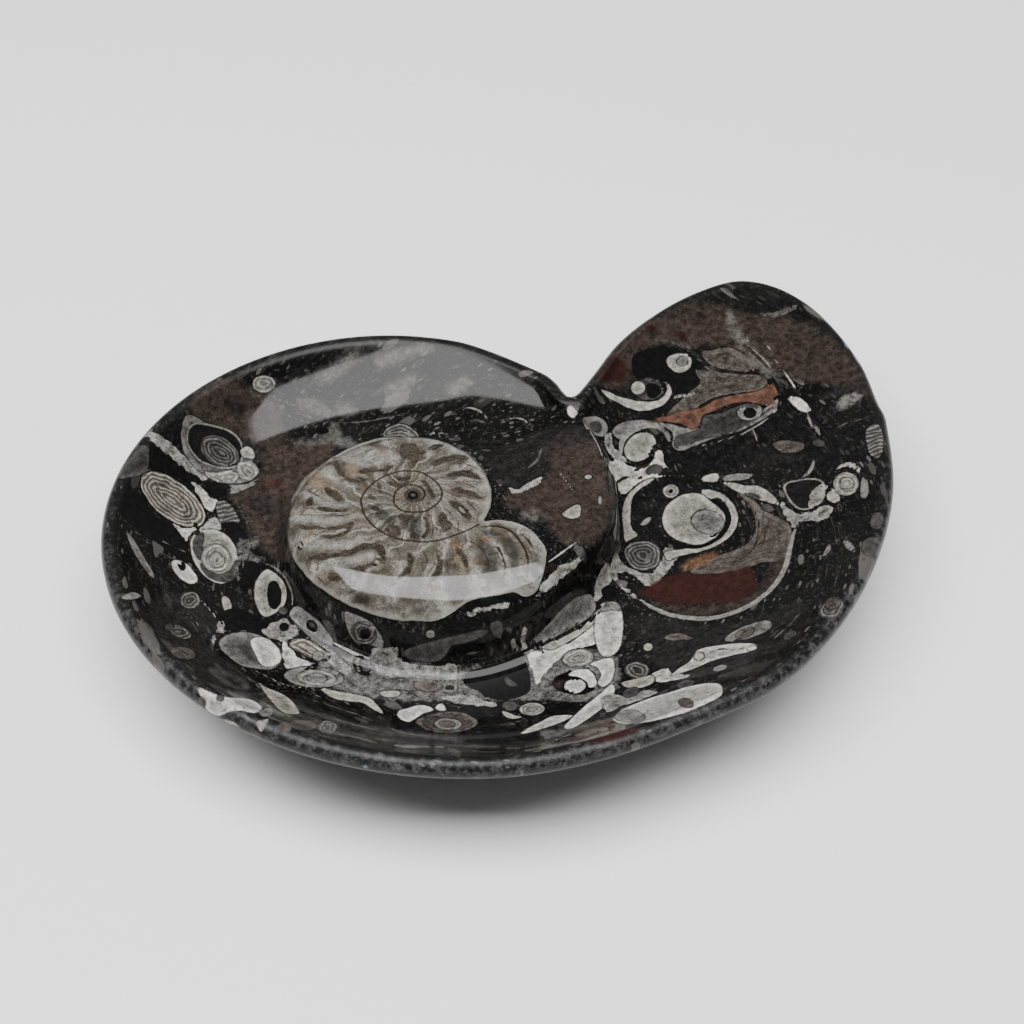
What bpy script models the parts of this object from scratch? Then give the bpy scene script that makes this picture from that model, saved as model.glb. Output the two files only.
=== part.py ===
# A serving plate carved from one slab of polished black fossil limestone. Its outline is
# the spiral of an ammonite: a round coil that opens into a wide mouth. Inside the rounded
# rim lies a hollow, and from its floor rises a domed boss that holds the real ammonite.
# The boss runs out as a ridge to the notch, where the coil meets the mouth.
# Millimetres are used throughout and turned into metres when the mesh is made.
# The origin is under the middle of the plate, on the surface that it rests on.

from math import atan, atan2, cos, exp, hypot, pi, radians, sin, tan

import bmesh
import bpy

NODE = "fossil_plate"
MM = 0.001

# Rim: a round nose that follows the outline. Heights are measured from its middle.
RIM_LEVEL = 30.0          # middle of the rim's nose above the surface
RIM_RADIUS = 2.7

# Coil of the outline, a logarithmic spiral that is slightly oval
COIL_CENTRE = (-23.1, 17.9)
COIL_RADIUS = 47.9        # at the +X direction, before any turn
COIL_GROWTH = 0.1494      # per radian
COIL_OVAL = 0.0158
COIL_OVAL_TURN = -8.4     # degrees
COIL_START = 62.0         # degrees, behind the notch
COIL_END = 357.0          # degrees, at the right side
HAND_GROUND = [(291.0, 9.0, -1.5), (312.0, 10.0, 1.2)]     # degrees, reach, swell of the edge

# Mouth of the coil, from the end of the spiral round to the notch and back to its start
MOUTH = [
    (100.4, 17.4), (101.8, 34.3), (98.9, 55.2), (92.6, 68.2), (83.8, 74.1), (72.5, 72.6),
    (59.7, 67.2), (45.8, 57.9), (34.6, 46.1), (30.2, 41.5), (27.6, 39.3), (24.8, 38.5),
    (22.4, 39.8), (21.2, 43.0), (20.4, 46.8), (18.4, 50.8),
]
NOTCH = (24.8, 38.5)

# Upper edge of the boss: share of the way round the outline that it faces, then x and y
BOSS_EDGE = [
    (0.000, 24.6, 33.0), (0.020, 18.0, 29.6), (0.042, 9.6, 26.4), (0.064, 0.0, 28.6),
    (0.084, -8.6, 37.0), (0.108, -20.0, 43.2), (0.138, -33.5, 43.0), (0.178, -46.5, 36.6),
    (0.225, -54.8, 25.2), (0.275, -58.0, 11.5), (0.325, -54.6, -3.4), (0.378, -45.5, -14.4),
    (0.432, -32.6, -21.6), (0.485, -19.6, -24.4), (0.530, -8.0, -23.4), (0.572, 2.0, -19.8),
    (0.616, 11.0, -13.6), (0.665, 19.4, -7.4), (0.715, 24.6, 0.6), (0.770, 27.4, 9.6),
    (0.830, 28.4, 18.0), (0.896, 27.6, 25.4), (0.960, 26.0, 31.0),
]

# Crest of the boss, from the dome over the ammonite along the ridge to the notch: x, y, z
CREST = [(-22.0, 10.0, 0.0), (-9.0, 8.0, 0.0), (4.0, 6.5, 0.0), (14.5, 11.5, 0.1), (20.5, 21.0, 0.5),
         (23.5, 31.0, 1.2), (24.6, 38.0, 1.8)]
CREST_BLEND = 9.0         # width over which one stretch of the crest passes into the next
DOME_FALL = 0.0012        # fall per square millimetre away from the crest
HUB = (-12.0, 5.0)        # middle of the fan of faces on the boss

# Side of the boss: share, height of the hollow's floor, how far in plan the foot lies beyond
# the edge, and radius of the rounded shoulder. The shoulder is broad over the ammonite.
SIDE = [
    (0.000, 0.9, 0.7, 1.5), (0.020, -2.2, 5.0, 2.0), (0.042, -4.4, 9.0, 3.0), (0.064, -6.4, 9.5, 5.0),
    (0.084, -7.9, 7.5, 6.5), (0.108, -9.4, 6.0, 8.0), (0.140, -10.9, 5.6, 9.0),
    (0.200, -13.0, 5.8, 10.5), (0.300, -16.2, 6.6, 13.5), (0.400, -19.0, 7.8, 18.0),
    (0.460, -20.0, 8.3, 20.0), (0.520, -20.0, 8.2, 17.0), (0.575, -19.4, 7.8, 11.0),
    (0.630, -18.4, 7.2, 7.0), (0.690, -17.0, 6.6, 5.0), (0.770, -14.4, 5.8, 4.0),
    (0.840, -10.4, 5.0, 3.0), (0.900, -6.0, 3.8, 2.0), (0.955, -1.5, 2.1, 1.5),
]
SET_BACK = 0.8            # where the shoulder starts inside the edge, as a share of its radius
SLOPE_STEP = 0.5          # step over which the top's slope is taken
STEEPEST_TOP = 0.2        # radians
FILLET_RADIUS = 5.0       # hollow rounding at the boss's foot
TIGHTEST = 0.98           # share of the room that the two roundings may take where the side is low
LEAST_DROP = 0.05
DISH_CURVE = 1.7          # power of the hollow's profile: flat at the foot, steep at the rim

# Underside: slanted from the rim to a flat foot
FOOT_SHARE = 0.5          # how far in the foot's edge lies, from the rim to the boss
FOOT_RADIUS = 2.0
FLAT_SHARE = 0.54         # where the foot is flat
FOOT_TURN = 0.15          # height of the rounding's middle ring, as a share of its own height

# Fineness of the faceted surface
AROUND = 132
FINE = 2400               # steps of the outline before it is divided evenly
CLOSER_AT_NOTCH = 3.0     # how much closer the sections stand at the notch
NOTCH_REACH = 9.0
TOP_RINGS = 4
EDGE_RINGS = 5
FILLET_RINGS = 3
DISH_RINGS = 6
RIM_RINGS = 6
UNDER_RINGS = 3

STONE_COLOUR = (0.020, 0.019, 0.019, 1.0)
STONE_ROUGHNESS = 0.12


def mix(a, b, t):
    return a + (b - a) * t


def between(knots, values, at, period):
    """Smooth curve through values at rising knots, which closes on itself after period."""
    count = len(knots)
    k = [knots[i % count] + period * (i // count) for i in range(-2, count + 3)]
    v = [values[i % count] for i in range(-2, count + 3)]
    at = knots[0] + (at - knots[0]) % period
    i = 2
    while k[i + 1] < at:
        i += 1
    step = k[i + 1] - k[i]
    rise_before = (v[i + 1] - v[i - 1]) / (k[i + 1] - k[i - 1])
    rise_after = (v[i + 2] - v[i]) / (k[i + 2] - k[i])
    t = (at - k[i]) / step
    return (v[i] * (2 * t ** 3 - 3 * t ** 2 + 1) + v[i + 1] * (3 * t ** 2 - 2 * t ** 3)
            + step * rise_before * (t ** 3 - 2 * t ** 2 + t) + step * rise_after * (t ** 3 - t ** 2))


def coil_point(degrees):
    angle = radians(degrees)
    oval = 1 + COIL_OVAL * cos(2 * (angle - radians(COIL_OVAL_TURN)))
    radius = COIL_RADIUS * exp(COIL_GROWTH * angle) * oval
    for middle, reach, swell in HAND_GROUND:
        radius += swell * exp(-((degrees - middle) / reach) ** 2)
    return (COIL_CENTRE[0] + radius * cos(angle), COIL_CENTRE[1] + radius * sin(angle))


def outline_guides():
    """Points round the middle of the rim: the coil at even turns, then the mouth."""
    turns = 24
    coil = [coil_point(mix(COIL_START, COIL_END, i / turns)) for i in range(turns + 1)]
    return coil + MOUTH


def smooth_outline():
    """The outline as many close points, starting at the notch."""
    guides = outline_guides()
    knots = [0.0]
    for a, b in zip(guides, guides[1:] + guides[:1]):
        knots.append(knots[-1] + hypot(b[0] - a[0], b[1] - a[1]))
    around = knots.pop()
    xs = [p[0] for p in guides]
    ys = [p[1] for p in guides]
    start = knots[guides.index(NOTCH)]
    points = []
    for i in range(FINE):
        at = start + around * i / FINE
        points.append((between(knots, xs, at, around), between(knots, ys, at, around)))
    return points


def sections(points):
    """Places for the cross-sections: share of the way round, point and inward normal."""
    lengths = []
    weights = []
    for i, p in enumerate(points):
        q = points[(i + 1) % FINE]
        lengths.append(hypot(q[0] - p[0], q[1] - p[1]))
        away = hypot(p[0] - NOTCH[0], p[1] - NOTCH[1]) / NOTCH_REACH
        weights.append(lengths[-1] * (1 + CLOSER_AT_NOTCH * exp(-away * away)))
    total = sum(weights)
    around = sum(lengths)
    found = []
    passed = 0.0
    walked = 0.0
    for i, weight in enumerate(weights):
        if passed >= total * len(found) / AROUND - 1e-9:
            before = points[i - 2]
            after = points[(i + 2) % FINE]
            along = (after[0] - before[0], after[1] - before[1])
            length = hypot(*along)
            inward = (-along[1] / length, along[0] / length)
            found.append((walked / around, points[i], inward))
        passed += weight
        walked += lengths[i]
    return found[:AROUND]


def boss_edge(share):
    knots = [p[0] for p in BOSS_EDGE]
    return tuple(between(knots, [p[axis] for p in BOSS_EDGE], share, 1.0) for axis in (1, 2))


def boss_top(x, y):
    """Height of the boss: each piece of the crest counts more the nearer it is."""
    total = 0.0
    height = 0.0
    for (ax, ay, az), (bx, by, bz) in zip(CREST, CREST[1:]):
        t = ((x - ax) * (bx - ax) + (y - ay) * (by - ay)) / ((bx - ax) ** 2 + (by - ay) ** 2)
        t = min(1.0, max(0.0, t))
        away = (x - mix(ax, bx, t)) ** 2 + (y - mix(ay, by, t)) ** 2
        weight = exp(-away / (2 * CREST_BLEND ** 2)) + 1e-12
        total += weight
        height += weight * (mix(az, bz, t) - DOME_FALL * away)
    return height / total


def side_of_boss(share):
    knots = [p[0] for p in SIDE]
    return tuple(between(knots, [p[column] for p in SIDE], share, 1.0) for column in (1, 2, 3))


def slope_of_side(shoulder, run, drop):
    """Radii of the shoulder and the fillet, and the angle of the straight slope between them."""
    both = shoulder + FILLET_RADIUS
    shrink = min(1.0, TIGHTEST * (run ** 2 + drop ** 2) / (2 * drop * both))
    both *= shrink
    straight = (run ** 2 + (both - drop) ** 2 - both ** 2) ** 0.5
    steep = atan2(both, straight) - atan2(both - drop, run)
    return shoulder * shrink, FILLET_RADIUS * shrink, steep


def section_points(share, rim, inward):
    """One cross-section from the boss's middle over the rim to the middle underneath."""
    points = []
    edge = boss_edge(share)
    length = hypot(rim[0] - edge[0], rim[1] - edge[1])
    out = ((rim[0] - edge[0]) / length, (rim[1] - edge[1]) / length)
    floor, beyond, shoulder = side_of_boss(share)
    back = SET_BACK * shoulder
    start = (edge[0] - out[0] * back, edge[1] - out[1] * back)
    for ring in range(1, TOP_RINGS + 1):
        t = ring / TOP_RINGS
        x, y = mix(HUB[0], start[0], t), mix(HUB[1], start[1], t)
        points.append((x, y, boss_top(x, y)))

    # Side of the boss: broad shoulder that goes on from the top's slope, straight slope, fillet
    top = points[-1][2]
    fall = boss_top(start[0] - out[0] * SLOPE_STEP, start[1] - out[1] * SLOPE_STEP) - top
    first = min(STEEPEST_TOP, max(0.0, atan(fall / SLOPE_STEP)))
    run = beyond + back
    drop = max(top - floor, LEAST_DROP)
    radius, fillet, steep = slope_of_side(shoulder, run + shoulder * sin(first),
                                          drop + shoulder * (1 - cos(first)))
    first = min(first, steep)
    for ring in range(1, EDGE_RINGS + 1):
        turn = mix(first, steep, ring / EDGE_RINGS)
        ahead, fall = radius * (sin(turn) - sin(first)), radius * (cos(first) - cos(turn))
        points.append((start[0] + out[0] * ahead, start[1] + out[1] * ahead, top - fall))
    foot = (start[0] + out[0] * run, start[1] + out[1] * run)
    for ring in range(FILLET_RINGS + 1):
        turn = steep * (1 - ring / FILLET_RINGS)
        back, rise = fillet * sin(turn), fillet * (1 - cos(turn))
        points.append((foot[0] - out[0] * back, foot[1] - out[1] * back, floor + rise))

    # Hollow, from the foot of the boss up to the rim
    gap = hypot(rim[0] - foot[0], rim[1] - foot[1])
    slope = atan(DISH_CURVE * max(0.0, RIM_RADIUS - floor) / max(gap, 1.0))
    inner = (rim[0] + inward[0] * RIM_RADIUS * sin(slope), rim[1] + inward[1] * RIM_RADIUS * sin(slope))
    inner_level = RIM_RADIUS * cos(slope)
    for ring in range(1, DISH_RINGS):
        t = ring / DISH_RINGS
        points.append((mix(foot[0], inner[0], t), mix(foot[1], inner[1], t),
                       mix(floor, inner_level, t ** DISH_CURVE)))

    # Round nose of the rim, from the inside over the top to the underside
    far = (mix(rim[0], edge[0], FOOT_SHARE), mix(rim[1], edge[1], FOOT_SHARE))
    reach = hypot(far[0] - rim[0], far[1] - rim[1])
    tuck = atan(RIM_LEVEL / reach)
    for ring in range(RIM_RINGS + 1):
        turn = mix(pi / 2 + slope, tuck - pi / 2, ring / RIM_RINGS)
        out_by = RIM_RADIUS * cos(turn)
        points.append((rim[0] - inward[0] * out_by, rim[1] - inward[1] * out_by, RIM_RADIUS * sin(turn)))

    # Slanted underside, rounded edge and flat foot
    last = points[-1]
    round_run = min(FOOT_RADIUS, reach / 3)
    share_in = 1 - round_run / reach
    side_x, side_y = mix(rim[0], far[0], share_in), mix(rim[1], far[1], share_in)
    side_z = -RIM_LEVEL + round_run * tan(tuck / 2)
    for ring in range(1, UNDER_RINGS + 1):
        t = ring / UNDER_RINGS
        points.append((mix(last[0], side_x, t), mix(last[1], side_y, t), mix(last[2], side_z, t)))
    points.append((far[0], far[1], -RIM_LEVEL + FOOT_TURN * round_run * tan(tuck / 2)))
    points.append((mix(rim[0], edge[0], FLAT_SHARE), mix(rim[1], edge[1], FLAT_SHARE), -RIM_LEVEL))
    return points


def build_plate():
    rows = [section_points(*place) for place in sections(smooth_outline())]
    xs = [p[0] for row in rows for p in row]
    ys = [p[1] for row in rows for p in row]
    mid_x, mid_y = (min(xs) + max(xs)) / 2, (min(ys) + max(ys)) / 2

    def corner(x, y, z):
        return ((x - mid_x) * MM, (y - mid_y) * MM, (z + RIM_LEVEL) * MM)

    bm = bmesh.new()
    rows = [[bm.verts.new(corner(*p)) for p in row] for row in rows]
    crown = bm.verts.new(corner(HUB[0], HUB[1], boss_top(*HUB)))
    below = bm.verts.new(corner(HUB[0], HUB[1], -RIM_LEVEL))
    for row, after in zip(rows, rows[1:] + rows[:1]):
        bm.faces.new((crown, row[0], after[0]))
        for k in range(len(row) - 1):
            bm.faces.new((row[k], row[k + 1], after[k + 1], after[k]))
        bm.faces.new((below, after[-1], row[-1]))
    bmesh.ops.triangulate(bm, faces=bm.faces[:])
    mesh = bpy.data.meshes.new(NODE)
    bm.to_mesh(mesh)
    bm.free()
    plate = bpy.data.objects.new(NODE, mesh)
    bpy.context.scene.collection.objects.link(plate)
    return plate


def stone_material():
    stone = bpy.data.materials.new("polished_fossil_limestone")
    stone.use_nodes = True
    shader = stone.node_tree.nodes["Principled BSDF"]
    shader.inputs["Base Color"].default_value = STONE_COLOUR
    shader.inputs["Roughness"].default_value = STONE_ROUGHNESS
    shader.inputs["Metallic"].default_value = 0.0
    return stone


def main():
    for old in list(bpy.data.objects):
        bpy.data.objects.remove(old, do_unlink=True)
    plate = build_plate()
    plate.data.materials.append(stone_material())
    plate.data.shade_smooth()
    plate.data.set_sharp_from_angle(angle=radians(40))


main()
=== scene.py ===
# Polished ammonite and orthoceras plate: the finished stone, its camera, floor and light.
# One slab of black fossil limestone. The fine mesh repeats the shape of the solid that it
# replaces, and every fossil is only colour in the polished face.
from math import atan2, cos, exp, hypot, pi, radians, sin

import bmesh
import bpy
import numpy as np
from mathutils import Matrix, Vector
from mathutils.bvhtree import BVHTree
from mathutils.kdtree import KDTree


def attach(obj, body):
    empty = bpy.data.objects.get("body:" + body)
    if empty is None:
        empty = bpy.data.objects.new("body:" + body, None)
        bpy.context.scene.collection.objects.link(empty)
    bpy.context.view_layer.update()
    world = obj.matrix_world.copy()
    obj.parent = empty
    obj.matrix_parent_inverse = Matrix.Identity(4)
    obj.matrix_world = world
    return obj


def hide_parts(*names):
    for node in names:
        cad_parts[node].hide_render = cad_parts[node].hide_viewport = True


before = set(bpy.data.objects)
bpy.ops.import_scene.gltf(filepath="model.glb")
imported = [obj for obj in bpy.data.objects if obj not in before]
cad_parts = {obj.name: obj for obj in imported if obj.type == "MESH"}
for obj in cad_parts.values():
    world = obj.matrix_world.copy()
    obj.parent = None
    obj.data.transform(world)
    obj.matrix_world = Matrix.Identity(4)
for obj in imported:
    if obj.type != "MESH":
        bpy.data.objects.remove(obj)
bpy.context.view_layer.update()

mm = 0.001

# Camera, as in the photograph: places in millimetres, pixels in its square frame
camera = {
    "lens": 85.0,
    "sensor": 36.0,
    "elevation": 43.5,
    "turn": 15.0,             # degrees to the left of the plate's front
    "target": (-1.47, 3.53, 30.0),
    "distance": 612.1,
    "pixels": 1024,
}


def cameraAxes():
    turn, lift = radians(camera["turn"]), radians(camera["elevation"])
    ahead = np.array([sin(turn) * cos(lift), cos(turn) * cos(lift), -sin(lift)])
    right = np.array([cos(turn), -sin(turn), 0.0])
    up = np.cross(right, ahead)
    place = np.array(camera["target"]) - ahead * camera["distance"]
    return place, ahead, right, up


def makeCamera():
    place, ahead = cameraAxes()[:2]
    data = bpy.data.cameras.new("photoCamera")
    data.lens = camera["lens"]
    data.sensor_width = camera["sensor"]
    data.clip_start, data.clip_end = 0.01, 20.0
    holder = bpy.data.objects.new("photoCamera", data)
    bpy.context.scene.collection.objects.link(holder)
    holder.location = place * mm
    holder.rotation_euler = Vector(ahead).to_track_quat("-Z", "Y").to_euler()
    bpy.context.scene.camera = holder
    print("camera set")


# The stone's shape, in millimetres, as in the solid
stone = {
    "rimLevel": 30.0,
    "rimRadius": 2.7,
    "coilCentre": (-23.1, 17.9),
    "coilRadius": 47.9,
    "coilGrowth": 0.1494,
    "coilOval": 0.0158,
    "coilOvalTurn": -8.4,
    "coilStart": 62.0,
    "coilEnd": 357.0,
    "handGround": [(291.0, 9.0, -1.5), (312.0, 10.0, 1.2)],
    "mouth": [(100.4, 17.4), (101.8, 34.3), (98.9, 55.2), (92.6, 68.2), (83.8, 74.1), (72.5, 72.6),
              (59.7, 67.2), (45.8, 57.9), (34.6, 46.1), (30.2, 41.5), (27.6, 39.3), (24.8, 38.5),
              (22.4, 39.8), (21.2, 43.0), (20.4, 46.8), (18.4, 50.8)],
    "notch": (24.8, 38.5),
    "bossEdge": [          # share of the way round, x, y
        (0.000, 24.6, 33.0), (0.020, 18.0, 29.6), (0.042, 9.6, 26.4), (0.064, 0.0, 28.6),
        (0.084, -8.6, 37.0), (0.108, -20.0, 43.2), (0.138, -33.5, 43.0), (0.178, -46.5, 36.6),
        (0.225, -54.8, 25.2), (0.275, -58.0, 11.5), (0.325, -54.6, -3.4), (0.378, -45.5, -14.4),
        (0.432, -32.6, -21.6), (0.485, -19.6, -24.4), (0.530, -8.0, -23.4), (0.572, 2.0, -19.8),
        (0.616, 11.0, -13.6), (0.665, 19.4, -7.4), (0.715, 24.6, 0.6), (0.770, 27.4, 9.6),
        (0.830, 28.4, 18.0), (0.896, 27.6, 25.4), (0.960, 26.0, 31.0)],
    "crest": [(-22.0, 10.0, 0.0), (-9.0, 8.0, 0.0), (4.0, 6.5, 0.0), (14.5, 11.5, 0.1),
              (20.5, 21.0, 0.5), (23.5, 31.0, 1.2), (24.6, 38.0, 1.8)],
    "crestBlend": 9.0,
    "domeFall": 0.0012,
    "hub": (-12.0, 5.0),
    "foot": [              # share of the way round, floor of the hollow, foot beyond the edge, edge radius
        (0.000, 0.9, 0.7, 1.5), (0.020, -2.2, 5.0, 2.0), (0.042, -4.4, 9.0, 3.0), (0.064, -6.4, 9.5, 5.0),
        (0.084, -7.9, 7.5, 6.5), (0.108, -9.4, 6.0, 8.0), (0.140, -10.9, 5.6, 9.0),
        (0.200, -13.0, 5.8, 10.5), (0.300, -16.2, 6.6, 13.5), (0.400, -19.0, 7.8, 18.0),
        (0.460, -20.0, 8.3, 20.0), (0.520, -20.0, 8.2, 17.0), (0.575, -19.4, 7.8, 11.0),
        (0.630, -18.4, 7.2, 7.0), (0.690, -17.0, 6.6, 5.0), (0.770, -14.4, 5.8, 4.0),
        (0.840, -10.4, 5.0, 3.0), (0.900, -6.0, 3.8, 2.0), (0.955, -1.5, 2.1, 1.5)],
    "setBack": 0.8,        # where the edge's rounding starts, as a share of its radius
    "filletRadius": 5.0,
    "tightest": 0.98,
    "leastDrop": 0.05,
    "dishCurve": 2.0,
    "steeperWall": (0.200, 0.060, 1.5),   # share of the way round, reach and how much steeper towards the rim
    "footShare": 0.5,
    "flatShare": 0.54,
    "footRadius": 2.0,
    "boxMiddle": (0.174, 0.012),   # from the guides' origin to the middle of the plate
    "columns": 480,
    "outlineSteps": 6000,
    "closerAtNotch": 2.0,
    "notchReach": 9.0,
    "topRings": 62,
    "edgeRings": 18,
    "filletRings": 8,
    "sideRings": 3,
    "dishRings": 64,
    "rimRings": 12,
    "underRings": 20,
    "footRings": 4,
    "bottomRings": 5,
}


def mix(a, b, t):
    return a + (b - a) * t


def between(knots, values, at, period):
    count = len(knots)
    k = np.array([knots[i % count] + period * (i // count) for i in range(-2, count + 3)])
    v = np.array([values[i % count] for i in range(-2, count + 3)])
    at = knots[0] + (np.asarray(at, float) - knots[0]) % period
    i = np.clip(np.searchsorted(k, at, side="left") - 1, 2, count + 1)
    step = k[i + 1] - k[i]
    riseBefore = (v[i + 1] - v[i - 1]) / (k[i + 1] - k[i - 1])
    riseAfter = (v[i + 2] - v[i]) / (k[i + 2] - k[i])
    t = (at - k[i]) / step
    return (v[i] * (2 * t ** 3 - 3 * t ** 2 + 1) + v[i + 1] * (3 * t ** 2 - 2 * t ** 3)
            + step * riseBefore * (t ** 3 - 2 * t ** 2 + t) + step * riseAfter * (t ** 3 - t ** 2))


def coilPoint(degrees):
    angle = radians(degrees)
    oval = 1 + stone["coilOval"] * cos(2 * (angle - radians(stone["coilOvalTurn"])))
    radius = stone["coilRadius"] * exp(stone["coilGrowth"] * angle) * oval
    for middle, reach, swell in stone["handGround"]:
        radius += swell * exp(-((degrees - middle) / reach) ** 2)
    return (stone["coilCentre"][0] + radius * cos(angle), stone["coilCentre"][1] + radius * sin(angle))


def outlineSections():
    turns = 24
    guides = [coilPoint(mix(stone["coilStart"], stone["coilEnd"], i / turns)) for i in range(turns + 1)]
    guides += stone["mouth"]
    knots = [0.0]
    for a, b in zip(guides, guides[1:] + guides[:1]):
        knots.append(knots[-1] + hypot(b[0] - a[0], b[1] - a[1]))
    around = knots.pop()
    start = knots[guides.index(stone["notch"])]
    at = start + around * np.arange(stone["outlineSteps"]) / stone["outlineSteps"]
    x = between(knots, [p[0] for p in guides], at, around)
    y = between(knots, [p[1] for p in guides], at, around)
    length = np.hypot(np.roll(x, -1) - x, np.roll(y, -1) - y)
    away = np.hypot(x - stone["notch"][0], y - stone["notch"][1]) / stone["notchReach"]
    weight = length * (1 + stone["closerAtNotch"] * np.exp(-away * away))
    walked = np.concatenate([[0.0], np.cumsum(length)]) / length.sum()
    passed = np.concatenate([[0.0], np.cumsum(weight)]) / weight.sum()
    even = np.arange(stone["columns"]) / stone["columns"]
    step = np.interp(even, passed, np.arange(stone["outlineSteps"] + 1))
    share = np.interp(even, passed, walked)
    at = start + around * step / stone["outlineSteps"]
    nudge = around / stone["outlineSteps"] * 2
    place = np.stack([between(knots, [p[k] for p in guides], at, around) for k in (0, 1)], 1)
    ahead = np.stack([between(knots, [p[k] for p in guides], at + nudge, around) for k in (0, 1)], 1)
    behind = np.stack([between(knots, [p[k] for p in guides], at - nudge, around) for k in (0, 1)], 1)
    along = ahead - behind
    along /= np.linalg.norm(along, axis=1)[:, None]
    return share, place, np.stack([-along[:, 1], along[:, 0]], 1)


def bossTop(x, y):
    total = 0.0
    height = 0.0
    crest = stone["crest"]
    for (ax, ay, az), (bx, by, bz) in zip(crest, crest[1:]):
        t = ((x - ax) * (bx - ax) + (y - ay) * (by - ay)) / ((bx - ax) ** 2 + (by - ay) ** 2)
        t = np.clip(t, 0.0, 1.0)
        away = (x - mix(ax, bx, t)) ** 2 + (y - mix(ay, by, t)) ** 2
        weight = np.exp(-away / (2 * stone["crestBlend"] ** 2)) + 1e-12
        total = total + weight
        height = height + weight * (mix(az, bz, t) - stone["domeFall"] * away)
    return height / total


def ringPoints():
    share, rim, inward = outlineSections()
    hub = np.array(stone["hub"])
    knots = [p[0] for p in stone["bossEdge"]]
    edge = np.stack([between(knots, [p[k] for p in stone["bossEdge"]], share, 1.0) for k in (1, 2)], 1)
    out = rim - edge
    out /= np.linalg.norm(out, axis=1)[:, None]
    knots = [p[0] for p in stone["foot"]]
    floor, beyond, radius = (between(knots, [p[k] for p in stone["foot"]], share, 1.0) for k in (1, 2, 3))
    start = edge - out * (stone["setBack"] * radius)[:, None]
    rings = []

    def ring(plan, height):
        rings.append(np.column_stack([plan, np.broadcast_to(height, len(plan))]))

    for k in range(1, stone["topRings"] + 1):
        plan = mix(hub, start, k / stone["topRings"])
        ring(plan, bossTop(plan[:, 0], plan[:, 1]))

    # Side of the boss: rounded edge, straight slope, hollow fillet
    top = rings[-1][:, 2]
    before = start - out * 0.5
    first = np.arctan((bossTop(before[:, 0], before[:, 1]) - top) / 0.5)
    first = np.clip(first, 0.0, 0.2)
    drop = np.maximum(top - floor, stone["leastDrop"]) + radius * (1 - np.cos(first))
    run = (beyond + stone["setBack"] * radius) + radius * np.sin(first)
    both = radius + stone["filletRadius"]
    shrink = np.minimum(1.0, stone["tightest"] * (run ** 2 + drop ** 2) / (2 * drop * both))
    both = both * shrink
    straight = np.sqrt(run ** 2 + (both - drop) ** 2 - both ** 2)
    steep = np.arctan2(both, straight) - np.arctan2(both - drop, run)
    edgeRadius, fillet = radius * shrink, stone["filletRadius"] * shrink
    first = np.minimum(first, steep)
    for k in range(1, stone["edgeRings"] + 1):
        turn = mix(first, steep, k / stone["edgeRings"])
        ahead = edgeRadius * (np.sin(turn) - np.sin(first))
        ring(start + out * ahead[:, None], top - edgeRadius * (np.cos(first) - np.cos(turn)))
    foot = start + out * (beyond + stone["setBack"] * radius)[:, None]
    lip = rings[-1]
    hollowStart = np.column_stack([foot - out * (fillet * np.sin(steep))[:, None],
                                   floor + fillet * (1 - np.cos(steep))])
    for k in range(1, stone["sideRings"]):
        point = mix(lip, hollowStart, k / stone["sideRings"])
        ring(point[:, :2], point[:, 2])
    for k in range(stone["filletRings"] + 1):
        turn = steep * (1 - k / stone["filletRings"])
        ring(foot - out * (fillet * np.sin(turn))[:, None], floor + fillet * (1 - np.cos(turn)))

    # Hollow, from the foot of the boss up to the rim
    radius = stone["rimRadius"]
    gap = np.linalg.norm(rim - foot, axis=1)
    middle, reach, more = stone["steeperWall"]
    curve = stone["dishCurve"] + more * np.exp(-((share - middle) / reach) ** 2)
    slope = np.arctan(curve * np.maximum(0.0, radius - floor) / np.maximum(gap, 1.0))
    inner = rim + inward * (radius * np.sin(slope))[:, None]
    for k in range(1, stone["dishRings"]):
        t = k / stone["dishRings"]
        ring(mix(foot, inner, t), mix(floor, radius * np.cos(slope), t ** curve))

    # Round nose of the rim, from the inside over the top to the underside
    far = mix(rim, edge, stone["footShare"])
    reach = np.linalg.norm(far - rim, axis=1)
    tuck = np.arctan(stone["rimLevel"] / reach)
    for k in range(stone["rimRings"] + 1):
        turn = mix(pi / 2 + slope, tuck - pi / 2, k / stone["rimRings"])
        ring(rim - inward * (radius * np.cos(turn))[:, None], radius * np.sin(turn))

    # Slanted underside, rounded foot and flat base
    last = rings[-1]
    roundRun = np.minimum(stone["footRadius"], reach / 3)
    rise = roundRun * np.tan(tuck / 2)
    side = np.column_stack([mix(rim, far, (1 - roundRun / reach)[:, None]), -stone["rimLevel"] + rise])
    flat = np.column_stack([mix(rim, edge, stone["flatShare"]), np.full(len(rim), -stone["rimLevel"])])
    corner = np.column_stack([far, np.full(len(rim), -stone["rimLevel"])])
    for k in range(1, stone["underRings"] + 1):
        point = mix(last, side, k / stone["underRings"])
        ring(point[:, :2], point[:, 2])
    for k in range(1, stone["footRings"] + 1):
        t = k / stone["footRings"]
        point = mix(mix(side, corner, t), mix(corner, flat, t), t)
        ring(point[:, :2], point[:, 2])
    for k in range(1, stone["bottomRings"]):
        ring(mix(flat[:, :2], hub, k / stone["bottomRings"]), -stone["rimLevel"])
    return np.array(rings)


def storeAttribute(mesh, name, values, domain="CORNER"):
    attribute = mesh.attributes.new(name, "FLOAT_VECTOR", domain)
    attribute.data.foreach_set("vector", np.ascontiguousarray(values, np.float32).ravel())


# How far each point lies from the crest of the rim, in millimetres
def rimDistance(mesh, rings):
    crest = rings[-stone["rimRings"] // 2 - stone["underRings"] - stone["footRings"] - stone["bottomRings"]]
    tree = KDTree(len(crest))
    for k, point in enumerate(crest):
        tree.insert(point * mm, k)
    tree.balance()
    away = [tree.find(vert.co)[2] / mm for vert in mesh.vertices]
    return np.column_stack([away, np.zeros(len(away)), np.zeros(len(away))])


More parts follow.
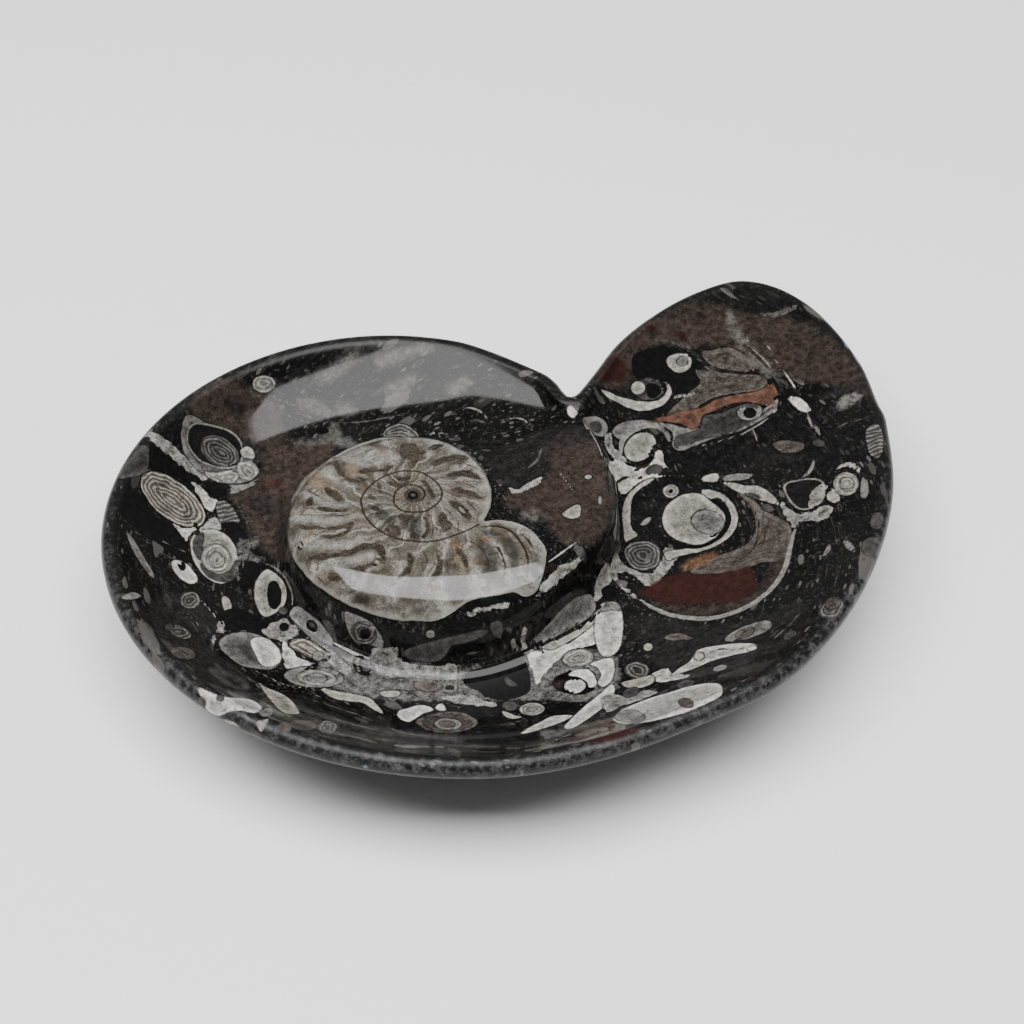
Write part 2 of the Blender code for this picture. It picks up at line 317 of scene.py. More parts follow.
def makeStone():
    rings = ringPoints()
    bm = bmesh.new()
    line = [bm.verts.new((k, 0, 0)) for k in range(len(rings) + 2)]
    edges = [bm.edges.new(pair) for pair in zip(line, line[1:])]
    bmesh.ops.spin(bm, geom=line + edges, cent=(0, 0, 0), axis=(0, 0, 1), angle=2 * pi,
                   steps=stone["columns"], use_merge=True)
    middle = np.array([*stone["boxMiddle"], -stone["rimLevel"]])
    hub = stone["hub"]
    crown = np.array([*hub, bossTop(*hub)])
    below = np.array([*hub, -stone["rimLevel"]])
    for vert in bm.verts:
        k = round(hypot(vert.co.x, vert.co.y))
        column = round(atan2(vert.co.y, vert.co.x) / (2 * pi) * stone["columns"]) % stone["columns"]
        point = crown if k == 0 else below if k > len(rings) else rings[k - 1][column]
        vert.co = (point - middle) * mm
    bmesh.ops.remove_doubles(bm, verts=bm.verts[:], dist=1e-7)
    bmesh.ops.recalc_face_normals(bm, faces=bm.faces[:])
    mesh = bpy.data.meshes.new("stone")
    bm.to_mesh(mesh)
    bm.free()
    storeAttribute(mesh, "rim", rimDistance(mesh, rings - middle), "POINT")
    mesh.shade_smooth()
    piece = bpy.data.objects.new("stone", mesh)
    bpy.context.scene.collection.objects.link(piece)
    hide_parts("fossil_plate")
    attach(piece, "root")
    print("stone:", len(mesh.vertices), "vertices,", len(mesh.polygons), "faces")
    return piece


# Looks of the fossils: colours are linear, lengths in millimetres
plainLook = {
    "fill": (0.20, 0.19, 0.17),
    "rim": None,              # colour of the wall and of the rings
    "wall": 0.0,
    "step": 1.0,              # between rings or stripes
    "rings": 0.0,
    "stripes": 0.0,
    "mottle": 0.8,
    "rough": 0.2,             # how far the edge wanders
    "soft": 0.0,
    "edge": 0.7,              # darkness of the line along the edge
    "grain": 0.0,
    "cover": 1.0,
    "deepen": 0.45,           # how much darker the inside is than a brighter border
    "echo": 0.0,              # a thin line outside, alongside the edge
}
looks = {
    "cream": {"fill": (0.30, 0.285, 0.25), "edge": 0.8},
    "white": {"fill": (0.50, 0.48, 0.435), "mottle": 0.8, "deepen": 0.4},
    "grey": {"fill": (0.15, 0.146, 0.135), "mottle": 0.9},
    "slate": {"fill": (0.048, 0.046, 0.044), "edge": 0.5},
    "black": {"fill": (0.006, 0.006, 0.006), "edge": 0.0, "deepen": 0.0},
    "ringedPale": {"fill": (0.16, 0.155, 0.14), "rim": (0.36, 0.34, 0.30), "rings": 0.8, "step": 1.1},
    "ringedGrey": {"fill": (0.04, 0.038, 0.035), "rim": (0.17, 0.165, 0.15), "rings": 0.75, "step": 1.0},
    "darkShell": {"fill": (0.010, 0.010, 0.010), "rim": (0.20, 0.19, 0.17), "wall": 0.6, "edge": 0.4,
                  "deepen": 0.0},
    "cement": {"fill": (0.23, 0.22, 0.20), "rough": 1.1, "mottle": 1.1, "edge": 0.3, "grain": 0.3},
    "cementWhite": {"fill": (0.46, 0.44, 0.39), "rough": 0.8, "mottle": 1.0, "edge": 0.4},
    "striped": {"fill": (0.05, 0.048, 0.045), "rim": (0.20, 0.19, 0.175), "stripes": 0.8, "step": 1.4},
    "maroon": {"fill": (0.034, 0.013, 0.011), "rough": 1.2, "soft": 0.9, "edge": 0.0, "deepen": 0.0,
               "mottle": 0.5},
    "salmon": {"fill": (0.100, 0.052, 0.036), "rough": 0.5, "soft": 0.15, "edge": 0.5, "deepen": 0.3},
    "pitted": {"fill": (0.060, 0.049, 0.036), "rim": (0.040, 0.031, 0.022), "wall": 0.3, "rough": 0.75,
               "soft": 0.45, "edge": 0.0, "grain": 1.0, "deepen": -0.3, "echo": 0.3},
    "orange": {"fill": (0.19, 0.10, 0.050), "rough": 0.6, "soft": 1.0, "edge": 0.0, "cover": 0.6,
               "deepen": 0.0},
    "paleLine": {"fill": (0.22, 0.21, 0.19), "edge": 0.0, "rough": 0.15, "soft": 0.05, "deepen": 0.0},
    "whiteLine": {"fill": (0.50, 0.48, 0.45), "edge": 0.0, "rough": 0.1, "soft": 0.05, "deepen": 0.0},
    "greyLine": {"fill": (0.095, 0.092, 0.087), "edge": 0.0, "rough": 0.2, "soft": 0.15, "deepen": 0.0},
    "darkLine": {"fill": (0.024, 0.018, 0.013), "edge": 0.0, "rough": 0.12, "soft": 0.08, "deepen": 0.0},
    # A soft dark veil; on the ammonite's lower left edge it is painted shade
    "shade": {"fill": (0.012, 0.011, 0.010), "edge": 0.0, "rough": 0.8, "soft": 1.0, "cover": 0.7,
              "deepen": 0.0},
    "glow": {"fill": (0.17, 0.16, 0.145), "edge": 0.0, "rough": 1.6, "soft": 1.8, "cover": 0.5, "grain": 0.5},
    "ivory": {"fill": (0.34, 0.33, 0.305), "edge": 0.0, "rough": 0.6, "soft": 1.1, "cover": 0.6,
              "deepen": 0.0},
    "tan": {"fill": (0.21, 0.165, 0.115), "edge": 0.0, "rough": 0.5, "soft": 0.8, "cover": 0.8,
            "deepen": 0.0},
    "wavy": {"fill": (0.10, 0.085, 0.07), "rim": (0.34, 0.32, 0.28), "rings": 1.0, "step": 1.2, "mottle": 0.9,
             "edge": 1.0, "deepen": 0.2},
    "brownGround": {"fill": (0.043, 0.032, 0.027), "rough": 1.6, "soft": 1.3, "edge": 0.0, "mottle": 1.0,
                    "grain": 0.25, "deepen": 0.0},
    # Painted highlight: bluish glints on the rim
    "blueChip": {"fill": (0.14, 0.21, 0.25), "rough": 0.6, "soft": 0.25, "edge": 0.0, "deepen": 0.0},
    "slateGround": {"fill": (0.0216, 0.0204, 0.0198), "rough": 1.6, "soft": 1.2, "edge": 0.0, "mottle": 1.0,
                    "grain": 0.3, "deepen": 0.0, "cover": 0.7},
    "blackGround": {"fill": (0.009, 0.009, 0.009), "rough": 1.4, "soft": 1.0, "edge": 0.0, "mottle": 1.2,
                    "deepen": 0.0, "cover": 0.7},
    "rust": {"fill": (0.050, 0.024, 0.017), "rough": 1.0, "soft": 1.0, "edge": 0.0, "deepen": 0.0,
             "cover": 0.7},
    "brownDisc": {"fill": (0.072, 0.060, 0.053), "rim": (0.12, 0.105, 0.092), "rings": 0.5, "step": 1.5,
                  "mottle": 1.0, "grain": 0.15, "edge": 0.6, "deepen": 0.3},
    "cementGround": {"fill": (0.12, 0.115, 0.105), "rough": 1.6, "soft": 0.6, "edge": 0.0, "mottle": 1.4,
                     "grain": 0.4, "deepen": 0.0},
}

# The fossils by the pixels of the photograph, drawn and listed from below to above. An oval
# is x, y, two half lengths and a turn; a loop or a line is a row of x and y; a line has its width in
# millimetres first
fossils = [
    # Grounds with soft borders
    ("brownGround", [212, 374, 250, 385, 275, 402, 284, 425, 290, 442, 330, 447, 325, 462, 303, 482, 292,
        505, 288, 535, 292, 555, 280, 562, 262, 548, 250, 532, 240, 506, 228, 492, 250, 482, 262, 470, 262,
        452, 245, 440, 215, 425, 190, 412, 195, 395]),
    ("brownGround", [660, 318, 700, 302, 735, 310, 790, 318, 830, 335, 862, 375, 866, 395, 830, 385, 790,
        378, 765, 368, 735, 348, 700, 345, 672, 335]),
    ("brownGround", [596, 380, 625, 340, 655, 318, 690, 325, 700, 345, 670, 345, 640, 350, 632, 365, 630,
        385, 610, 388]),
    ("blackGround", [737, 290, 760, 288, 785, 296, 798, 306, 775, 312, 750, 314, 735, 305]),
    ("blackGround", [782, 400, 800, 420, 822, 440, 860, 425, 868, 450, 850, 462, 820, 470, 790, 470, 760,
        460, 720, 470, 690, 475, 665, 465, 665, 448, 700, 450, 745, 432, 770, 415]),
    ("brownGround", [545, 445, 565, 432, 590, 437, 603, 460, 611, 490, 612, 515, 600, 540, 575, 545, 560,
        540, 545, 520, 525, 512, 505, 505, 510, 492, 540, 483, 550, 470]),
    # Painted sheen: this paler slate ground on the ramp behind the crest stands in for the ramp's grey sheen
    ("slateGround", [488, 455, 510, 445, 540, 432, 570, 425, 588, 428, 592, 440, 560, 452, 545, 470, 535,
        480, 515, 488, 500, 485, 490, 475]),
    ("slateGround", [150, 600, 190, 595, 220, 625, 215, 650, 240, 670, 250, 690, 215, 688, 185, 670, 165,
        645]),
    ("cementGround", [318, 662, 360, 657, 420, 664, 470, 668, 530, 660, 560, 650, 600, 650, 618, 660, 616,
        690, 590, 700, 540, 700, 470, 700, 400, 700, 340, 690]),
    ("slateGround", [630, 620, 660, 618, 720, 625, 775, 612, 800, 600, 810, 620, 780, 650, 740, 672, 700,
        680, 670, 680, 650, 660]),
    ("blackGround", [300, 692, 345, 707, 400, 725, 480, 705, 520, 730, 560, 735, 560, 752, 480, 757, 400,
        757, 340, 748, 300, 725]),
    ("blackGround", [380, 626, 440, 630, 470, 616, 540, 602, 580, 560, 605, 530, 610, 560, 590, 596, 560,
        612, 540, 632, 470, 655, 400, 655, 370, 640]),
    ("blackGround", [632, 482, 650, 480, 672, 478, 700, 476, 690, 495, 668, 502, 660, 520, 662, 540, 640,
        538, 634, 520]),

    # Back wall
    ("glow", (345, 410, 8, 5, 0)),
    ("glow", [322, 372, 340, 362, 352, 350, 362, 352, 350, 366, 335, 378, 322, 382]),
    ("glow", [376, 360, 395, 352, 415, 347, 432, 346, 428, 351, 405, 357, 385, 366]),
    ("glow", [388, 388, 400, 380, 415, 375, 410, 386, 396, 396, 388, 396]),
    ("glow", [300, 398, 318, 402, 330, 412, 322, 416, 305, 408]),
    ("glow", [450, 384, 462, 378, 472, 382, 462, 390, 450, 394]),
    ("greyLine", 0.5, [246, 388, 262, 398, 285, 408, 312, 418, 335, 424]),
    ("greyLine", 0.4, [252, 384, 272, 396, 296, 406, 318, 414]),
    ("greyLine", 0.5, [243, 394, 265, 406, 290, 416, 315, 424]),
    ("greyLine", 0.4, [336, 423, 360, 422, 385, 418, 410, 412]),
    ("greyLine", 0.4, [280, 412, 300, 420, 322, 427]),
    ("greyLine", 0.4, [455, 392, 475, 382, 492, 374]),
    ("greyLine", 0.4, [440, 402, 462, 392, 480, 382]),
    ("glow", [296, 441, 312, 441, 322, 438, 328, 430, 333, 424, 338, 430, 341, 438, 350, 440, 356, 446, 345,
        446, 330, 445, 312, 446]),
    ("black", (322, 430, 7, 4, 10)),
    ("paleLine", 0.5, [455, 415, 466, 408, 478, 410, 486, 418, 484, 426]),
    ("greyLine", 0.5, [462, 428, 474, 420, 488, 424]),
    ("paleLine", 0.5, [500, 425, 512, 418, 524, 420, 532, 428]),
    ("slateGround", (252, 452, 15, 10, 30)),
    ("slateGround", (266, 505, 18, 11, 10)),
    ("slateGround", (283, 536, 8, 12, 0)),

    # Left of the boss
    ("slate", [118, 478, 128, 460, 141, 445, 150, 450, 148, 468, 136, 476]),
    ("black", [150, 444, 160, 445, 172, 455, 186, 466, 198, 478, 205, 482, 192, 485, 175, 476, 160, 470,
        150, 468]),
    ("black", [112, 500, 130, 492, 142, 498, 158, 518, 176, 528, 186, 545, 192, 560, 180, 560, 160, 545,
        130, 525]),
    ("cement", [148, 427, 157, 433, 168, 441, 178, 450, 190, 460, 200, 468, 208, 479, 203, 481, 195, 476,
        183, 468, 172, 458, 160, 448, 150, 438, 143, 436]),
    ("grey", [188, 414, 181, 430, 182, 446, 188, 460, 200, 472, 215, 481, 235, 484, 252, 480, 260, 470, 257,
        458, 248, 446, 238, 438, 222, 430, 208, 424]),
    ("darkShell", [188, 428, 196, 422, 210, 424, 225, 428, 238, 436, 244, 448, 243, 460, 237, 467, 225, 469,
        212, 467, 200, 462, 191, 452, 186, 440]),
    ("ringedGrey", (220, 452, 22, 14, 36)),
    ("ringedPale", [203, 471, 215, 472, 230, 470, 240, 474, 235, 482, 222, 483, 210, 479]),
    ("ringedPale", (248, 471, 13, 10, 40)),
    ("cream", [240, 450, 246, 446, 252, 448, 256, 457, 250, 459, 243, 457]),
    ("black", [203, 480, 212, 482, 222, 485, 227, 492, 220, 498, 212, 496, 205, 488]),
    ("grey", [225, 485, 245, 484, 258, 478, 255, 485, 242, 491, 230, 494]),
    ("cementWhite", [190, 481, 200, 486, 210, 497, 219, 499, 215, 506, 211, 512, 204, 506, 198, 494]),
    ("cement", [205, 523, 213, 517, 220, 522, 222, 529, 212, 530, 200, 530]),
    ("cementWhite", [172, 523, 184, 528, 196, 528, 190, 535, 187, 541, 180, 533]),
    ("wavy", [141, 476, 150, 471, 160, 472, 172, 477, 185, 486, 197, 497, 205, 511, 205, 522, 198, 527, 185,
        527, 172, 522, 160, 514, 148, 501, 141, 488]),
    ("shade", (164, 484, 4, 3, 20)),
    ("shade", (168, 510, 5, 3, 0)),
    ("shade", [186, 508, 191, 517, 184, 518]),
    ("striped", [216, 504, 220, 500, 226, 501, 232, 506, 238, 516, 240, 523, 232, 524, 226, 527, 220, 522,
        217, 513]),
    ("black", [221, 524, 228, 522, 236, 522, 243, 530, 248, 540, 240, 542, 230, 539, 223, 532]),
    ("darkLine", 0.9, [222, 488, 232, 500, 242, 516, 249, 539]),
    ("greyLine", 0.4, [226, 490, 236, 503, 245, 518, 251, 536]),
    ("cream", [190, 541, 196, 532, 205, 529, 218, 530, 229, 537, 236, 547, 239, 560, 237, 573, 230, 581,
        220, 584, 208, 579, 199, 570, 192, 557]),
    ("slate", [193, 541, 199, 533, 204, 534, 203, 545, 203, 556, 199, 560, 194, 552]),
    ("slate", [238, 560, 238, 570, 233, 580, 222, 582, 208, 577, 200, 566, 203, 563, 210, 571, 220, 574,
        230, 570, 234, 562]),
    ("ringedPale", (216, 558, 15, 14, 20)),
    ("ringedPale", (217, 560, 8, 7, 20)),
    ("white", [171, 563, 174, 560, 182, 561, 190, 567, 197, 576, 197, 582, 190, 584, 182, 580, 175, 573]),
    ("black", [177, 562, 184, 562, 186, 568, 182, 571, 178, 567]),
    ("grey", [125, 528, 133, 538, 142, 553, 152, 570, 155, 578, 149, 575, 139, 561, 130, 545]),
    ("ringedGrey", (190, 600, 11, 9, 10)),
    ("cream", [222, 596, 228, 597, 232, 605, 230, 613, 225, 612, 222, 604]),
    ("cementGround", [238, 541, 250, 541, 258, 537, 258, 545, 250, 552, 262, 560, 255, 565, 245, 562, 243,
        575, 238, 580, 238, 560]),
    ("black", [245, 563, 258, 563, 257, 573, 252, 585, 245, 592, 240, 585]),
    ("cream", [262, 572, 268, 569, 278, 575, 285, 584, 287, 596, 284, 606, 276, 613, 265, 617, 258, 610,
        254, 597, 255, 583]),
    ("black", [269, 583, 276, 581, 281, 590, 281, 602, 275, 610, 269, 605, 267, 594]),
    ("paleLine", 0.8, [262, 562, 275, 568, 286, 579, 292, 594, 292, 606]),
    ("ringedPale", (264, 384, 12, 9, 0)),
    ("black", [277, 384, 288, 387, 300, 393, 306, 399, 294, 396, 282, 391]),
    ("greyLine", 0.8, [120, 478, 138, 474, 150, 469]),
    ("greyLine", 0.5, [120, 515, 150, 545, 176, 560]),
    ("paleLine", 0.5, [162, 541, 174, 546, 187, 553]),
    ("greyLine", 0.4, [130, 518, 142, 538, 150, 550]),
    ("grey", [120, 598, 128, 593, 135, 592, 142, 597, 130, 600]),
    ("ringedGrey", (180, 632, 12, 6, 20)),
    ("slate", (169, 627, 5, 4, 0)),
    ("brownDisc", (183, 653, 13, 6, 12)),
    ("paleLine", 0.45, [182, 609, 196, 622, 208, 638]),
    ("greyLine", 0.4, [176, 607, 188, 618, 200, 634]),
    ("whiteLine", 0.45, [201, 600, 210, 610, 219, 621]),
    ("cement", [219, 620, 224, 621, 226, 629, 221, 634, 216, 636, 214, 642, 217, 650, 222, 656, 214, 648,
        212, 638, 216, 632]),
    ("rust", (275, 483, 10, 4, 20)),
    ("shade", (236, 406, 12, 8, 20)),
    ("rust", (322, 447, 10, 3, -5)),

    # Front left
    ("black", [222, 612, 235, 608, 250, 612, 262, 619, 275, 620, 270, 628, 260, 632, 245, 630, 228, 632,
        224, 622]),
    ("grey", [219, 641, 228, 634, 245, 632, 262, 636, 275, 643, 282, 652, 281, 662, 272, 669, 256, 669, 240,
        665, 228, 656, 220, 648]),
    ("white", [250, 641, 256, 637, 266, 638, 276, 645, 281, 654, 280, 662, 270, 667, 260, 664, 256, 656,
        252, 648]),
    ("shade", [238, 644, 246, 643, 252, 650, 256, 658, 262, 665, 252, 662, 243, 655]),
    ("cement", [262, 632, 275, 622, 285, 618, 292, 624, 300, 634, 292, 638, 282, 642, 272, 638]),
    ("black", (284, 627, 5, 4.5, 0)),
    ("slate", (283, 611, 5, 4, 0)),
    ("grey", [289, 614, 293, 607, 299, 606, 308, 612, 318, 620, 328, 631, 334, 641, 331, 646, 322, 641, 310,
        633, 298, 625, 291, 619]),
    ("black", (312, 626, 7, 5, 50)),
    ("slate", (312, 625, 3.5, 2.5, 40)),
    ("slate", [321, 622, 328, 620, 335, 630, 337, 640, 336, 646, 330, 634]),
    ("cementWhite", [283, 640, 292, 650, 303, 660, 318, 664, 300, 667, 288, 668, 283, 658]),
    ("cement", [300, 636, 315, 640, 330, 650, 345, 662, 352, 668, 345, 675, 330, 664, 315, 650]),
    ("wavy", [288, 645, 293, 639, 303, 638, 315, 642, 325, 650, 330, 657, 325, 661, 314, 661, 303, 655, 294,
        650]),
    ("grey", (318, 656, 6, 5, 10)),
    ("grey", (314, 677, 30, 10.5, 3)),
    ("ringedPale", (317, 678, 20, 8, 3)),
    ("grey", (317, 678, 11, 5, 3)),
    ("grey", [344, 612, 355, 614, 368, 620, 378, 630, 384, 642, 382, 651, 374, 652, 362, 646, 353, 640, 347,
        628]),
    ("ringedGrey", (364, 633, 13, 11, 30)),
    ("black", (365, 634, 6, 5, 30)),
    ("whiteLine", 0.8, [331, 642, 345, 649, 358, 655, 370, 659]),
    ("paleLine", 0.7, [336, 657, 355, 663, 385, 676]),
    ("black", [354, 657, 362, 656, 368, 660, 378, 672, 368, 676, 359, 674, 353, 666]),
    ("slate", [361, 662, 368, 666, 370, 671, 363, 671]),
    ("cement", [372, 651, 382, 648, 395, 646, 402, 655, 412, 662, 440, 664, 455, 664, 456, 680, 430, 676,
        400, 674, 385, 680, 375, 668]),
    ("cream", [318, 686, 332, 690, 350, 693, 368, 697, 376, 703, 385, 715, 374, 710, 362, 703, 345, 701,
        330, 697]),
    ("cream", [258, 682, 268, 688, 283, 694, 293, 702, 300, 713, 290, 714, 281, 711, 272, 702, 264, 692]),
    ("white", [197, 687, 206, 690, 216, 694, 226, 697, 240, 698, 252, 700, 260, 705, 262, 711, 252, 713,
        240, 711, 230, 712, 220, 716, 210, 714, 205, 708, 207, 702, 200, 696]),
    ("slate", (220, 698, 4.5, 3.5, 10)),
    ("darkLine", 0.6, [233, 709, 241, 709, 249, 705]),
    ("grey", [259, 712, 266, 708, 273, 709, 272, 715, 262, 717]),
    ("cream", [222, 719, 232, 721, 241, 727, 232, 728, 226, 725]),
    ("cream", [257, 721, 270, 719, 265, 727, 262, 733, 257, 727]),
    ("brownDisc", (285, 727, 7, 5, 10)),
    ("brownDisc", (303, 725, 14, 5, 5)),
    ("ringedGrey", (328, 727, 10, 7, 5)),
    ("paleLine", 0.5, [230, 655, 262, 674, 290, 686, 318, 687]),
    ("greyLine", 0.5, [225, 662, 255, 682, 270, 690]),
    ("greyLine", 0.5, [215, 667, 230, 675, 248, 684]),
    ("darkLine", 0.7, [222, 655, 240, 668, 262, 678, 285, 684]),
    ("greyLine", 0.5, [300, 696, 325, 704, 350, 712, 375, 722]),
    ("greyLine", 0.5, [320, 712, 345, 722, 385, 732]),
    ("paleLine", 0.4, [295, 690, 318, 696, 336, 702]),

    # In front of the boss
    ("greyLine", 0.4, [398, 618, 404, 628, 416, 634]),
    ("greyLine", 0.4, [402, 615, 409, 624, 420, 629]),
    ("grey", (430, 634, 5.5, 4.5, 0)),
    ("slate", [403, 652, 408, 648, 425, 643, 445, 638, 465, 633, 485, 629, 489, 632, 480, 638, 466, 643,
        452, 647, 446, 655, 440, 661, 425, 662, 408, 659]),
    ("black", [450, 650, 460, 645, 475, 640, 488, 637, 490, 642, 478, 648, 465, 654, 450, 657]),
    ("slate", [489, 624, 495, 621, 502, 622, 503, 630, 502, 638, 495, 638, 491, 631]),
    ("slate", [506, 627, 514, 629, 512, 634, 507, 633]),
    ("greyLine", 0.9, [460, 658, 475, 652, 490, 646, 505, 641, 515, 639]),
    ("grey", [510, 640, 517, 638, 517, 646, 512, 650]),
    ("cement", [523, 628, 527, 629, 525, 640, 529, 648, 536, 651, 525, 656, 522, 645]),
    ("cementWhite", [525, 656, 540, 649, 560, 645, 575, 640, 590, 625, 597, 620, 598, 640, 590, 646, 570,
        650, 556, 662, 546, 672, 536, 686, 532, 670, 527, 662]),
    ("black", [468, 672, 480, 668, 500, 663, 522, 659, 527, 665, 530, 676, 530, 690, 520, 697, 505, 700,
        488, 700, 480, 692, 470, 688, 463, 682]),
    ("slate", [505, 676, 512, 680, 518, 686, 510, 686, 505, 682]),
    ("brownDisc", (428, 685, 15, 7, 3)),
    ("grey", (450, 688, 8, 5.5, -5)),
    ("black", (450, 688, 5, 3, -5)),
    ("darkLine", 0.5, [432, 697, 450, 694, 466, 688]),
    ("darkLine", 0.6, [384, 680, 400, 678, 420, 678, 440, 681]),
    ("darkLine", 0.7, [392, 691, 405, 690, 420, 698]),
    ("cement", [440, 697, 470, 695, 484, 700, 500, 706, 480, 706, 455, 703]),
    ("cream", [380, 692, 392, 690, 402, 692, 396, 697, 384, 697]),
    ("white", [397, 715, 400, 710, 408, 708, 418, 705, 428, 706, 434, 710, 425, 713, 418, 717, 410, 722,
        402, 720]),
    ("white", [435, 708, 441, 703, 447, 710, 440, 711]),
    ("brownDisc", [415, 722, 425, 716, 440, 712, 460, 712, 475, 718, 478, 724, 468, 730, 450, 733, 430,
        731]),
    ("grey", (448, 724, 14, 6, 2)),
    ("brownDisc", (447, 724, 8, 3.5, 2)),
    ("slate", (510, 706, 8, 5, 5)),
    ("cream", [502, 711, 508, 712, 515, 715, 523, 717, 512, 719, 504, 716]),
    ("ringedPale", (532, 709, 13, 6.5, -3)),
    ("black", [545, 712, 552, 706, 562, 703, 572, 703, 570, 710, 560, 714, 550, 715]),
    ("white", [520, 734, 528, 728, 540, 722, 552, 716, 566, 715, 573, 716, 562, 722, 548, 727, 532, 732]),
    ("white", [564, 727, 570, 720, 580, 710, 592, 700, 602, 692, 611, 684, 615, 688, 613, 697, 605, 706,
        592, 716, 580, 724, 570, 729]),
    ("white", [590, 664, 600, 660, 612, 658, 615, 668, 612, 680, 603, 687, 597, 683, 601, 675, 597, 668]),
    ("maroon", [572, 737, 580, 728, 595, 722, 610, 720, 625, 726, 640, 728, 635, 735, 615, 742, 595, 745,
        580, 742]),
    ("greyLine", 0.9, [468, 750, 488, 752, 512, 750]),
    ("greyLine", 0.7, [522, 749, 535, 752, 546, 748, 554, 753]),
    ("slate", [446, 747, 456, 749, 462, 755, 455, 758]),
    ("greyLine", 0.6, [430, 740, 445, 738, 460, 737]),
    ("greyLine", 0.7, [385, 726, 405, 733, 440, 737]),
    ("paleLine", 0.8, [548, 745, 560, 738, 572, 734]),

    # Front right
    ("grey", [533, 640, 540, 632, 552, 620, 563, 608, 575, 598, 587, 594, 594, 598, 596, 608, 590, 617, 578,
        625, 565, 632, 550, 640, 540, 645]),
    ("cream", [541, 646, 560, 638, 580, 627, 597, 610, 600, 604, 598, 618, 586, 631, 565, 644, 550, 650]),
    ("darkLine", 0.5, [537, 643, 560, 632, 580, 622, 596, 607]),
    ("white", [602, 603, 612, 601, 620, 605, 623, 618, 623, 632, 621, 645, 615, 654, 606, 657, 599, 652,
        595, 640, 594, 625, 597, 612]),
    ("grey", [601, 604, 612, 601, 620, 605, 621, 611, 612, 610, 600, 612]),
    ("ringedPale", (578, 658, 16, 9, -8)),
    ("black", [552, 683, 556, 677, 566, 672, 575, 668, 586, 667, 595, 673, 599, 681, 596, 688, 588, 693,
        576, 695, 565, 693, 556, 689]),
    ("white", [567, 675, 575, 670, 588, 669, 595, 676, 597, 684, 590, 688, 586, 682, 578, 677, 571, 676]),
    ("white", (575, 686, 11, 7.5, -5)),
    ("brownGround", [553, 683, 560, 680, 563, 685, 560, 689, 555, 687]),
    ("ringedGrey", (637, 670, 13, 8.5, 5)),
    ("cream", (648, 647, 5, 4.5, 0)),
    ("brownDisc", [663, 638, 670, 634, 680, 633, 690, 636, 695, 640, 685, 640, 672, 641]),
    ("cement", [600, 700, 612, 692, 625, 696, 645, 690, 658, 692, 640, 700, 622, 706, 608, 712]),
    ("cementWhite", [652, 673, 660, 670, 668, 668, 672, 673, 692, 675, 675, 680, 658, 682]),
    ("cream", [620, 683, 630, 680, 642, 677, 652, 675, 655, 680, 650, 685, 640, 688, 628, 688]),
    ("slate", (631, 692, 9, 5, -18)),
    ("white", [670, 676, 678, 669, 690, 661, 695, 652, 703, 648, 720, 645, 740, 643, 755, 644, 757, 648,
        748, 652, 730, 656, 712, 661, 698, 667, 684, 672]),
    ("darkLine", 0.8, [709, 654, 720, 649, 735, 649, 748, 647]),
    ("cream", (699, 656, 5.5, 4.5, 0)),
    ("white", (752, 648, 5, 2.8, -15)),
    ("grey", [724, 640, 732, 632, 745, 626, 760, 621, 770, 621, 772, 626, 765, 632, 750, 638, 735, 642]),
    ("brownDisc", (745, 633, 10, 5, -22)),
    ("greyLine", 0.9, [772, 640, 786, 628, 800, 613]),
    ("slate", (686, 684, 9, 4, -15)),
    ("white", [613, 718, 620, 711, 632, 705, 650, 698, 670, 692, 690, 686, 708, 683, 720, 684, 723, 690,
        720, 697, 708, 703, 690, 711, 670, 717, 648, 722, 628, 724, 616, 722]),
    ("grey", [614, 718, 622, 711, 635, 710, 645, 716, 642, 722, 628, 723]),
    ("darkLine", 0.5, [646, 708, 650, 714, 656, 716]),
    ("darkLine", 0.5, [700, 691, 708, 693, 716, 698]),
    ("brownDisc", (686, 703, 8, 5, 20)),
    ("slate", (790, 635, 8, 4, -30)),
    ("grey", (720, 668, 8, 3, -15)),

    # Foot of the boss on the right
    ("slate", [608, 468, 613, 480, 617, 505, 619, 530, 621, 548, 616, 556, 613, 535, 610, 505]),
    ("cement", [600, 572, 606, 562, 612, 574, 608, 590, 600, 600, 594, 601, 595, 585]),
    ("black", [601, 590, 611, 584, 618, 590, 614, 598, 606, 600]),

    # Right of the boss
    ("grey", [612, 432, 618, 424, 632, 420, 650, 420, 672, 424, 690, 428, 720, 425, 745, 420, 765, 408, 778,
        398, 776, 410, 762, 420, 740, 431, 715, 438, 695, 446, 680, 451, 672, 446, 672, 432, 655, 425, 635,
        428, 622, 440]),
    ("grey", [583, 418, 595, 416, 605, 421, 608, 430, 603, 437, 592, 434, 585, 427]),
    ("slate", (596, 427, 6, 5, 30)),
    ("cement", [604, 437, 610, 434, 614, 446, 624, 456, 630, 462, 620, 460, 610, 455]),
    ("cementWhite", [609, 462, 618, 460, 628, 465, 640, 468, 652, 462, 656, 452, 661, 450, 665, 465, 674,
        473, 660, 478, 645, 480, 632, 488, 622, 495, 616, 480, 610, 470]),
    ("darkLine", 1.1, [633, 471, 641, 468, 650, 464]),
    ("darkLine", 1.1, [638, 479, 642, 477, 647, 475]),
    ("darkLine", 0.9, [616, 483, 624, 478, 631, 477]),
    ("slate", [645, 470, 655, 464, 663, 468, 660, 474, 650, 476]),
    ("paleLine", 1.8, [621, 456, 622, 442, 631, 431, 648, 425, 662, 429, 668, 438]),
    ("cream", (640, 447, 17.5, 13.5, -35)),
    ("darkLine", 0.4, [650, 452, 652, 446, 657, 444]),
    ("grey", [661, 429, 667, 430, 671, 437, 671, 445, 667, 441, 664, 434]),
    ("darkLine", 0.9, [661, 449, 669, 466, 680, 481]),
    ("greyLine", 0.5, [665, 447, 673, 464, 684, 478]),
    ("cream", [627, 495, 634, 488, 645, 480, 656, 477, 650, 483, 638, 491, 632, 500, 631, 515, 632, 528,
        638, 535, 630, 540, 625, 542, 623, 528, 622, 510]),
